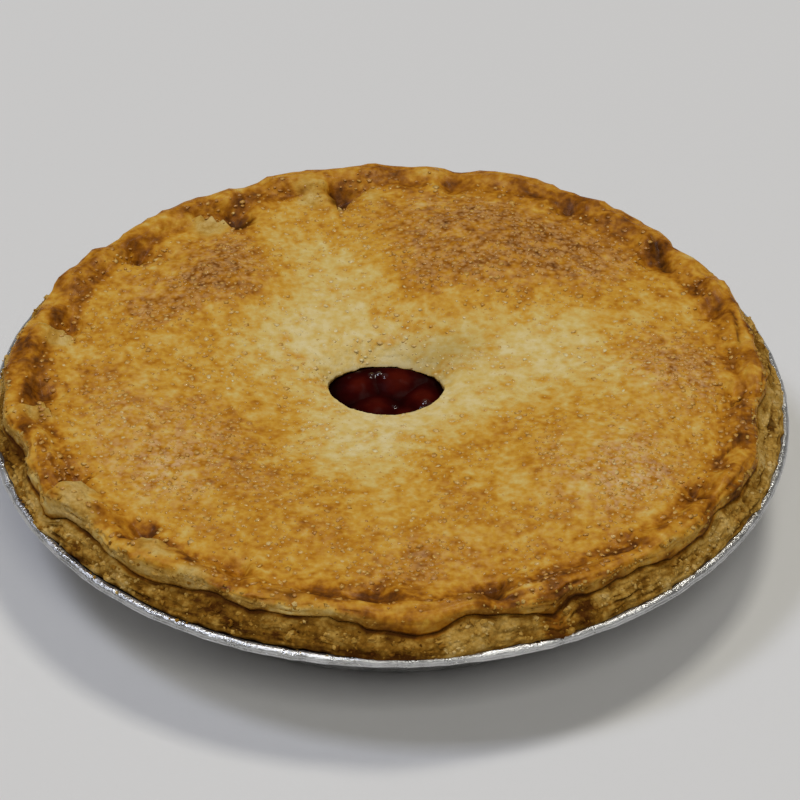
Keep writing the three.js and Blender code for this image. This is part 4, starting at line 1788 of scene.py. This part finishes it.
@dataclass(frozen=True)
class BottomCrust:
    """The pastry that lines the pan and stands on its flange as a thick crumbly band."""

    meridians: int = 1400
    band_stations: int = 34
    crumble: float = 0.95
    undercut: float = 0.9
    foot_out: float = 1.2
    overhang: float = 2.0
    bead_middle: float = 113.6
    bead_height: float = 28.2
    bead_roll: float = 1.55
    furthest: float = 114.3
    hollow_start: Span = (196.0, 212.0)
    hollow_end: Span = (258.0, 266.0)
    browned_angle: float = 259.0
    browned_width: float = 44.0
    overhang_angle: float = 273.0
    overhang_width: float = 13.0
    spill_angle: float = 293.8
    inset: float = 1.2
    corner_rise: float = 2.0
    seat_radius: float = 101.0
    mean_lump: float = 0.42
    sharp: float = 60.0

    def band(self, theta: Array, share: Array) -> Array:
        """Places on the band's outer face, from its foot at share 0 up to the crack at share 1.

        Args:
            theta: angles round the pie.
            share: how far up the face each place is.

        Returns:
            The places.
        """
        foot = FORM.band_foot + self.foot_out + 0.3 * FORM.ripple(theta, 3)
        overhang = hill(FORM.arc(self.overhang_angle, theta, FORM.edge), self.overhang_width)
        spill = FORM.spill_reach(theta) + self.overhang * overhang
        width = 0.12 * (foot - FORM.crack_radius(theta))
        belly = (FORM.band_belly + width + spill) * np.sin(math.pi * share**0.7)
        degrees = np.degrees(theta) % 360
        hollow = smoothstep(degrees, *self.hollow_start) * (1 - smoothstep(degrees, *self.hollow_end))
        hollow = self.undercut * np.clip(0.15 + hollow, 0, 1) * (1 - smoothstep(share, 0.0, 0.30))
        radius = blend(foot, FORM.crack_radius(theta), share**1.15) + belly - hollow
        low = FORM.flange_height + FORM.foil + FORM.foot_clearance
        height = blend(low, FORM.crack(theta) - FORM.crack_opening / 2, share)
        places = polar(theta, radius, height)
        crumbs = 0.6 * GRAIN_BAND.cloud(places, 7.0, 4) + 1.7 * (self.face_lumps(places) - self.mean_lump)
        fine = GRAIN_BAND.cloud(places + 70, 1.3, 2)
        fade = np.sin(math.pi * np.clip(share, 0, 1)) ** 0.4
        rough = (self.crumble * crumbs + 0.16 * fine) * fade
        for seam in (*BAND_SEAMS, *BAND_STAINS):
            rough = rough + seam.lift * seam.over(theta, FORM.edge, height)
        height = height + 0.25 * rough
        beside = self.bead_roll**2 - (height - self.bead_height) ** 2
        limit = np.where(beside > 0, self.bead_middle - np.sqrt(np.maximum(beside, 0)), self.furthest)
        return polar(theta, np.minimum(radius + rough, limit), height)

    def face_lumps(self, places: Array) -> Array:
        """How far each place of the band stands out of the creases between its crumbs."""
        return GRAIN_BAND.lumps(places * (1, 1, 1.5), 3.2)

    def tone(self, theta: Array, face: Array) -> Array:
        """How brown the band is at places on its face.

        Args:
            theta: angles round the pie.
            face: the places.

        Returns:
            How brown each place is.
        """
        tone = 0.44 + 0.26 * GRAIN_BAKE.cloud(face * (1, 1, 1.3) + 300.0, 6.5, 3)
        browned = hill(FORM.arc(self.browned_angle, theta, FORM.edge), self.browned_width)
        tone = tone + 0.24 * browned + 0.05 * (1 - np.cos(theta))
        for stain in (*BAND_STAINS, *BAND_SEAMS):
            tone = tone + stain.bake * stain.over(theta, FORM.edge, face[..., 2])
        return tone

    def build(self) -> bpy.types.Object:
        """Shapes the crust and gives it its colours.

        Returns:
            The bottom crust.
        """
        under = FORM.gap + FORM.foil
        start = (
            (0.0, under), (FORM.base_radius * 0.5, under), (FORM.base_radius - self.inset, under),
            (FORM.base_radius + FORM.base_corner - self.inset, FORM.base_corner + under),
            (FORM.wall_top - self.inset, FORM.flange_height + under),
        )
        corner = FORM.inner_corner
        floor = under + FORM.dough
        end = (
            (corner, floor + self.corner_rise), (corner - self.corner_rise, floor),
            (corner * 0.5, floor), (0.0, floor),
        )
        seats = 3
        turned = TurnedPiece(len(start) + self.band_stations + seats + len(end), self.meridians)
        theta = turned.angles()
        share = np.linspace(0, 1, self.band_stations)[:, None] + 0 * theta
        face = self.band(theta + 0 * share, share)
        plain = [polar(theta, r, z) for r, z in start]
        rings = (FORM.crack_radius(theta) - self.inset, self.seat_radius + 0 * theta,
                 FORM.band_inner + 0 * theta)
        seat = [polar(theta, ring, FORM.parting(theta, ring) - FORM.gap / 2) for ring in rings]
        inside = [polar(theta, r, z) for r, z in end]
        places = np.concatenate([*plain, face, *seat, *inside])
        turned.shape(places)
        self.colour(turned, places, theta, slice(len(start), len(start) + self.band_stations))
        turned.close_poles()
        return turned.piece

    def colour(self, turned: TurnedPiece, places: Array, theta: Array, rows: slice) -> None:
        """Keeps how brown and bare each place of the crust is, and its painted shade.

        Args:
            turned: the crust's primitive.
            places: all its places.
            theta: the angle of each meridian.
            rows: the stations of the band's face.
        """
        shape = places.shape[:2]
        bake, bare, shade = np.full(shape, 0.3), np.full(shape, 1.0), np.zeros(shape)
        face = places[rows]
        height = face[..., 2]
        # Painted light and shade: the creases between the band's crumbs darker, the tops of its lumps paler
        crease = 1 - smoothstep(self.face_lumps(face), 0.06, 0.36)
        tone = self.tone(theta, face) + 0.34 * crease - 0.16 * smoothstep(self.face_lumps(face), 0.4, 0.9)
        share = np.linspace(0, 1, self.band_stations)[:, None]
        # Painted shade in the seams
        for seam in BAND_SEAMS:
            shade[rows] += 0.7 * seam.over(theta, FORM.edge, height)
        spill = hill(FORM.arc(self.spill_angle, theta, FORM.edge), 3.0)
        # The crack's borders browned and darkened, partly browning and partly painted shade
        crack = smoothstep(share, 0.90, 0.98) * FORM.tear(theta)
        bake[rows] = tone + 0.36 * crack
        bare[rows] = 1 - 0.9 * np.maximum(spill, 0.7 * crack)
        # Painted shade at the crack, along the band's foot above the bead, and in the creases
        shade[rows] += 0.35 * smoothstep(share, 0.95, 1.0) + 0.75 * (1 - smoothstep(share, 0.0, 0.13))
        shade[rows] += 0.30 * crease
        # Painted shade on the seat and inside, under the lid and the filling
        shade[rows.stop:] = 0.8
        turned.keep(bake=bake, bare=bare, shade=shade)

    def make(self, finish: bpy.types.Material) -> None:
        """Builds the bottom crust and dresses it.

        Args:
            finish: crumbly pastry.
        """
        crust = self.build()
        dress(crust, "bottom_crust_crumbly", finish)
        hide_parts("bottom_crust")
        smooth_over(crust, self.sharp)


# The crumbs


@dataclass(frozen=True)
class Crumbs:
    """Crumbs of crust: fallen on the flange and the bead, and stuck to the band and the lid's edge."""

    name: str = "crust_crumbs"
    seed: int = 9
    fallen: int = 90
    on_band: int = 2300
    on_edge: int = 1300
    fallen_ring: Span = (111.6, 112.7)
    fallen_lift: float = 0.35
    smallest: float = 0.28
    uneven: float = 0.3
    squash: float = 0.85
    # Each of these is its angle, radius, height, size and how brown it is
    seen: tuple[tuple[float, ...], ...] = (
        (225.6, 113.6, 29.9, 1.1, 0.55), (224.6, 113.2, 29.8, 0.7, 0.65), (230.1, 114.0, 29.7, 1.1, 0.10),
        (240.4, 113.6, 29.8, 1.4, 0.50), (241.8, 113.2, 29.8, 1.0, 0.60), (239.2, 113.9, 29.6, 0.7, 0.35),
        (324.7, 112.2, 29.2, 1.2, 0.10), (312.6, 112.4, 29.3, 1.5, 0.15), (311.6, 112.9, 29.4, 0.9, 0.20),
        (309.2, 112.4, 29.3, 1.2, 0.05), (258.4, 113.8, 29.7, 0.7, 0.15), (262.0, 113.5, 29.8, 0.8, 0.20),
    )

    def build(self, crust: BottomCrust, lid: TopCrust) -> bpy.types.Object:
        """Scatters the crumbs.

        Args:
            crust: the bottom crust, whose band they stick to.
            lid: the lid, whose edge they stick to.

        Returns:
            All of them as one mesh.
        """
        draw = np.random.default_rng(self.seed)
        seen = np.array(self.seen)
        groups = [(polar(np.radians(seen[:, 0]), seen[:, 1], seen[:, 2]), seen[:, 3] / 2, seen[:, 4])]
        # Fallen on the flange
        theta = draw.uniform(0, 2 * math.pi, self.fallen)
        height = FORM.flange_height + FORM.foil + self.fallen_lift
        flange = polar(theta, draw.uniform(*self.fallen_ring, self.fallen), height)
        size = draw.uniform(0.25, 0.5, self.fallen)
        groups.append((flange, size, draw.uniform(0.1, 0.75, self.fallen)))
        # Stuck to the band
        theta = draw.uniform(0, 2 * math.pi, self.on_band)
        places = crust.band(theta, draw.uniform(0.28, 0.88, self.on_band))
        tone = crust.tone(theta, places) - 0.12 + draw.normal(0, 0.16, self.on_band)
        groups.append((places, self.smallest + 0.9 * draw.uniform(size=self.on_band) ** 2, tone))
        # Stuck to the lid's edge, but not at the back or where the edge is smooth
        theta = draw.uniform(0, 2 * math.pi, self.on_edge)
        clear = smoothstep(np.sin(theta), 0.05, 0.3)
        clear = np.maximum(0.95 * FORM.smooth_front(theta, FORM.edge, 20), clear)
        theta = theta[draw.uniform(size=self.on_edge) > clear]
        places = lid.edge_places(theta, draw.uniform(0.25, 0.85, len(theta)))
        size = self.smallest + 0.7 * draw.uniform(size=len(theta)) ** 2
        groups.append((places, size, 0.38 + draw.normal(0, 0.14, len(theta))))
        # All together, the stuck ones pressed in a little
        places, size, tone = (np.concatenate(column) for column in zip(*groups))
        stuck = np.arange(len(places)) >= len(seen) + self.fallen
        around = np.hypot(places[:, 0], places[:, 1])
        places[:, :2] *= (1 - 0.6 * size * stuck / around)[:, None]
        sides = size[:, None] * draw.uniform(0.6, 1.2, (len(places), 3))
        tones = {"bake": np.clip(tone, 0, 1), "bare": np.full(len(places), 0.9)}
        scatter = Scatter(self.name, GrainShape.CRUMB, self.seed, self.uneven, self.squash)
        return scatter.join(places, sides, tones)

    def make(self, crust: BottomCrust, lid: TopCrust, finish: bpy.types.Material) -> None:
        """Builds the crumbs and dresses them in crumbly pastry."""
        dress(self.build(crust, lid), self.name, finish)


# The filling


# Rises of wet juice and of cherries: the middle, half width and height of each
GLINTS = marks(
    Patch, (-9.4, 9.4, 1.2, 0.2), (-5.4, 8.2, 1.1, 0.45), (-3.4, 8.9, 0.8, 0.5), (-1.6, 7.6, 0.9, 0.5),
    (-12, 7, 0.8, 0.2), (1.4, -4.2, 0.9, 0.5), (10.3, -3.1, 1.1, 0.6), (8.8, -5, 0.6, 0.4),
)
CHERRIES = marks(
    Patch, (-9, 4, 6.2, 1.7), (2, 6.5, 6.8, 1.9), (9.5, -0.5, 6, 1.8), (-4, -4.5, 6.6, 1.5),
    (4.5, -8, 5, 1.3),
)


@dataclass(frozen=True)
class CherryFilling:
    """Cherries in gelled juice, bare in the vent hole and hidden elsewhere."""

    meridians: int = 260
    open_stations: int = 72
    juice_height: float = 29.9
    heap: float = 2.6
    open_radius: float = 20.0
    corner_rise: float = 2.0
    clearance: float = 0.1
    covered_radii: tuple[float, ...] = (80.0, 55.0, 24.0)
    cherry_width: float = 0.8
    glint_width: float = 0.7
    sharp: float = 60.0

    def surface(self, x: Array, y: Array) -> tuple[Array, Array, Array]:
        """Height of the filling in the vent hole, how much of a cherry shows there and how wet it is.

        Args:
            x, y: plan positions.

        Returns:
            The height, the share of a cherry and the wetness at each place.
        """
        rise = np.max([cherry.over(x, y, self.cherry_width) for cherry in CHERRIES], axis=0)
        wrinkle = 0.16 * GRAIN_FRUIT.cloud(level(x, y, 0.0), 4.0, 2)
        wrinkle = wrinkle + sum(glint.over(x, y, self.glint_width) for glint in GLINTS)
        wet = sum(glint.over(x, y) for glint in GLINTS)
        wrinkle = wrinkle + 0.10 * np.minimum(wet * 2, 1) * GRAIN_FRUIT.at(level(x, y, 60.0), 0.9)
        heaped = self.heap * smoothstep(y, 0.0, 12.0)
        _, outward = FORM.from_vent(x, y)
        ceiling = FORM.plain_parting(np.hypot(x, y)) - FORM.gap / 2 + 1.2 * smoothstep(-outward, 0.2, 1.8)
        height = self.juice_height + rise * (1 - 0.5 * smoothstep(y, 4.0, 12.0)) + wrinkle + heaped
        return np.minimum(height, ceiling), np.clip(rise / 1.6, 0, 1), smoothstep(wet, 0.06, 0.3)

    def build(self) -> bpy.types.Object:
        """Shapes the filling.

        Returns:
            The filling.
        """
        floor = FORM.gap * 2 + FORM.foil + FORM.dough
        clear = FORM.gap + self.clearance
        corner = FORM.inner_corner
        rise = self.corner_rise
        below = ((0.0, floor), (corner - rise - clear, floor), (corner - clear, floor + rise))
        covered = (FORM.band_inner - clear, *self.covered_radii)
        count = len(below) + len(covered) + self.open_stations
        turned = TurnedPiece(count, self.meridians)
        theta = turned.angles()
        rings = [polar(theta, r, z) for r, z in below]
        rings += [polar(theta, r, FORM.plain_parting(r) - FORM.gap / 2) for r in covered]
        radii = np.linspace(self.open_radius, 0.0, self.open_stations)[:, None]
        x = FORM.vent_x + radii * np.cos(theta)
        y = FORM.vent_y + radii * np.sin(theta)
        height, flesh, wet = self.surface(x, y)
        turned.shape(np.concatenate([*rings, np.stack([x, y, height], -1)]))
        covered_rows = ((count - self.open_stations, 0), (0, 0))
        turned.keep(flesh=np.pad(flesh, covered_rows), wet=np.pad(wet, covered_rows))
        turned.close_poles()
        return turned.piece

    def make(self) -> None:
        """Builds the filling and dresses it."""
        fruit = self.build()
        dress(fruit, "cherries_in_juice", CherryFinish("wet_cherries").make())
        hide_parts("cherry_filling")
        smooth_over(fruit, self.sharp)


# The foil pan


@dataclass(frozen=True)
class FoilPan:
    """The foil pan: a flat base, a fluted sloping wall, a flange and a rolled, creased bead."""

    meridians: int = 1300
    rim_radius: float = 115.0
    bead_radius: float = 1.4
    rise: float = 0.3
    bead_stations: int = 40
    wall_stations: int = 9
    flutes: int = 96
    flute_depth: float = 0.45
    seam_depth: float = 0.30
    seam_angle: float = 366.0
    seam_width: float = 11.0
    bead_turn: Span = (200.0, 520.0)
    trim: float = 0.25
    painted_shade_height: Span = (27.95, 28.3)
    painted_shade_edge: Span = (112.3, 113.0)
    sharp: float = 60.0

    def build(self) -> bpy.types.Object:
        """Shapes the pan.

        Returns:
            The pan.
        """
        wall = np.linspace(0, 1, self.wall_stations)
        outside_radius = blend(FORM.base_radius + FORM.base_corner, FORM.wall_top, wall)
        outside_height = blend(FORM.base_corner, FORM.flange_height, wall)
        section = np.radians(np.linspace(*self.bead_turn, self.bead_stations))
        seam = hill(section - math.radians(self.seam_angle), math.radians(self.seam_width))
        roll = self.bead_radius - self.seam_depth * seam
        bead_radius = self.rim_radius - self.bead_radius + roll * np.cos(section)
        bead_height = FORM.flange_height + self.rise + roll * np.sin(section)
        inside_radius = outside_radius[::-1] - FORM.foil * blend(1.0, 0.8, wall[::-1])
        inside_height = outside_height[::-1] + FORM.foil * 0.9
        radius = np.concatenate([
            [0, FORM.base_radius * 0.6, FORM.base_radius], outside_radius, bead_radius,
            inside_radius, [FORM.base_radius - 0.2, FORM.base_radius * 0.6, 0]])
        height = np.concatenate([
            [0, 0, 0], outside_height, bead_height, inside_height, [FORM.foil] * 3])
        turned = TurnedPiece(len(radius), self.meridians)
        theta = turned.angles()
        places = self.crease(polar(theta, radius[:, None], height[:, None]), theta)
        turned.shape(places)
        around = np.hypot(places[..., 0], places[..., 1])
        # Painted shade, kept as the stain attribute, on the flange under the crust's foot
        above = smoothstep(places[..., 2], *self.painted_shade_height)
        turned.keep(stain=above * (1 - smoothstep(around, *self.painted_shade_edge)))
        turned.close_poles()
        return turned.piece

    def crease(self, places: Array, theta: Array) -> Array:
        """Presses flutes into the wall and creases and dents into the bead.

        Args:
            places: the pan's places before it was creased.
            theta: the angle of each meridian.

        Returns:
            The places after it.
        """
        around = np.hypot(places[..., 0], places[..., 1])
        height = places[..., 2].copy()
        on_wall = smoothstep(height, 3, 9) * (1 - smoothstep(height, 24, 27.5)) * (around > 80)
        around = around - on_wall * self.flute_depth * (0.5 + 0.5 * np.cos(self.flutes * theta))
        on_bead = smoothstep(around, 112.0, 112.8)
        dents = GRAIN_FOIL.cloud(places * (1, 1, 0.6), 3.4, 3)
        lines = GRAIN_FOIL.at(places * (1, 1, 0.35) + 40.0, 1.9)
        pressed = 0.17 * np.clip(1 - 2.6 * np.abs(lines), 0, 1) * smoothstep(dents, -0.7, 0.3)
        slant = polar(theta, self.rim_radius + 6 * np.sin(9 * theta), 0.35 * height)
        wrinkles = GRAIN_FOIL.cloud(slant + 140.0, 2.6, 2)
        pushed = 0.12 * np.clip(dents, -1, 1) + 0.11 * np.clip(wrinkles, -1, 1)
        around = around - on_bead * (self.trim + pushed + pressed)
        lifted = 0.09 * GRAIN_FOIL.cloud(places + 90, 3.1, 3) + 0.13 * wrinkles
        height = height + on_bead * (lifted - 0.6 * pressed)
        return polar(theta, around, height)

    def make(self) -> None:
        """Builds the pan and dresses it."""
        pan = self.build()
        dress(pan, "foil_pan_creased", FoilFinish("creased_foil").make())
        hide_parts("foil_pan")
        smooth_over(pan, self.sharp)


# The studio


@dataclass(frozen=True)
class Lamp:
    """A square soft light that faces the pie: its direction, distance, width, power and colour."""

    name: str
    toward: tuple[float, float, float]
    distance: float
    size: float
    power: float
    colour: Colour

    def hang(self) -> None:
        """Hangs the light."""
        start_clean()
        direction = Vector(self.toward).normalized()
        bpy.ops.object.light_add(type="AREA", location=direction * self.distance)
        lamp = bpy.context.object
        lamp.name = self.name
        lamp.data.shape = "SQUARE"
        lamp.data.size = self.size
        lamp.data.energy = self.power
        lamp.data.color = self.colour
        lamp.rotation_mode = "QUATERNION"
        lamp.rotation_quaternion = direction.to_track_quat("Z", "Y")


@dataclass(frozen=True)
class Studio:
    """A plain pale table, three soft lights and the photograph's camera."""

    distance: float = 1100.0
    elevation: float = 37.05
    roll: float = 0.598
    target: tuple[float, float, float] = (2.79, 2.21, 28.0)
    focal: float = 3812.3
    frame_pixels: float = 800.0
    sensor: float = 36.0
    furthest_seen: float = 20.0
    table_size: float = 6.0
    room_colour: Colour = (1.0, 0.97, 0.93)
    room_light: float = 0.155
    finish: TableFinish = TableFinish("pale_table", (0.725, 0.72, 0.715), (0.71, 0.705, 0.70))
    lamps: tuple[Lamp, ...] = (
        Lamp("warm_lamp", (5.4, 8.6, 29.0), 5.0, 1.1, 78.0, (1.0, 0.97, 0.875)),
        Lamp("cool_lamp", (-14.6, 0.8, 29.0), 5.0, 1.2, 70.0, (0.78, 0.83, 1.0)),
        Lamp("front_lamp", (3.4, -20.7, 29.0), 5.0, 1.7, 54.0, (1.0, 0.99, 0.93)),
    )

    def table(self) -> None:
        """Lays the table."""
        start_clean()
        bpy.ops.mesh.primitive_plane_add(size=self.table_size, location=(0, 0, 0))
        table = bpy.context.object
        table.name = "table"
        table.data.materials.append(self.finish.make())
        table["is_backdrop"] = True

    def world(self) -> None:
        """Fills the room with soft even light."""
        world = bpy.data.worlds.new("room")
        world.use_nodes = True
        background = world.node_tree.nodes["Background"]
        background.inputs["Color"].default_value = (*self.room_colour, 1.0)
        background.inputs["Strength"].default_value = self.room_light
        bpy.context.scene.world = world

    def camera(self) -> None:
        """Sets up the camera from the fitted view."""
        rise = math.radians(self.elevation)
        lean = math.radians(self.roll)
        back = Vector((0, -math.cos(rise), math.sin(rise)))
        right = Vector((1, 0, 0))
        up = Vector((0, math.sin(rise), math.cos(rise)))
        turned_right = right * math.cos(lean) + up * math.sin(lean)
        turned_up = up * math.cos(lean) - right * math.sin(lean)
        start_clean()
        bpy.ops.object.camera_add()
        camera = bpy.context.object
        camera.name = "camera"
        camera.data.sensor_width = self.sensor
        camera.data.lens = self.focal / self.frame_pixels * self.sensor
        camera.data.clip_end = self.furthest_seen
        place = (Vector(self.target) + back * self.distance) * MM
        axes = Matrix((turned_right, turned_up, back)).transposed()
        camera.matrix_world = Matrix.Translation(place) @ axes.to_4x4()
        bpy.context.scene.camera = camera

    def build(self) -> None:
        """Sets up the whole studio."""
        self.table()
        for lamp in self.lamps:
            lamp.hang()
        self.world()
        self.camera()
        view = bpy.context.scene.view_settings
        view.view_transform = "Standard"
        view.look = "None"


def make_pie() -> None:
    """Builds and dresses every piece of the pie."""
    baked = PastryFinish("baked_pastry", roughness=0.46, glaze=0.03, bump=0.26).make()
    crumbly = PastryFinish("crumbly_pastry", roughness=0.65, glaze=0.0, bump=0.32).make()
    FoilPan().make()
    crust = BottomCrust()
    crust.make(crumbly)
    CherryFilling().make()
    lid = TopCrust()
    glassy = SugarFinish("baked_sugar").make()
    centres, sizes, amber = COARSE_SUGAR.lay(lid, largest_grains())
    lid.make(centres, baked)
    COARSE_SUGAR.make(centres, sizes, amber, glassy)
    none_yet = np.zeros((0, 5))
    FINE_SUGAR.make(*FINE_SUGAR.lay(lid, none_yet), glassy)
    Crumbs().make(crust, lid, crumbly)


def main() -> None:
    """Builds the pie and its studio and notes the finished size."""
    logging.basicConfig(level=logging.INFO, format="%(relativeCreated)d %(message)s")
    make_pie()
    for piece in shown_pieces():
        LOG.info("%s: %d faces", piece.name, len(piece.data.polygons))
    Studio().build()


if __name__ == "__main__":
    main()
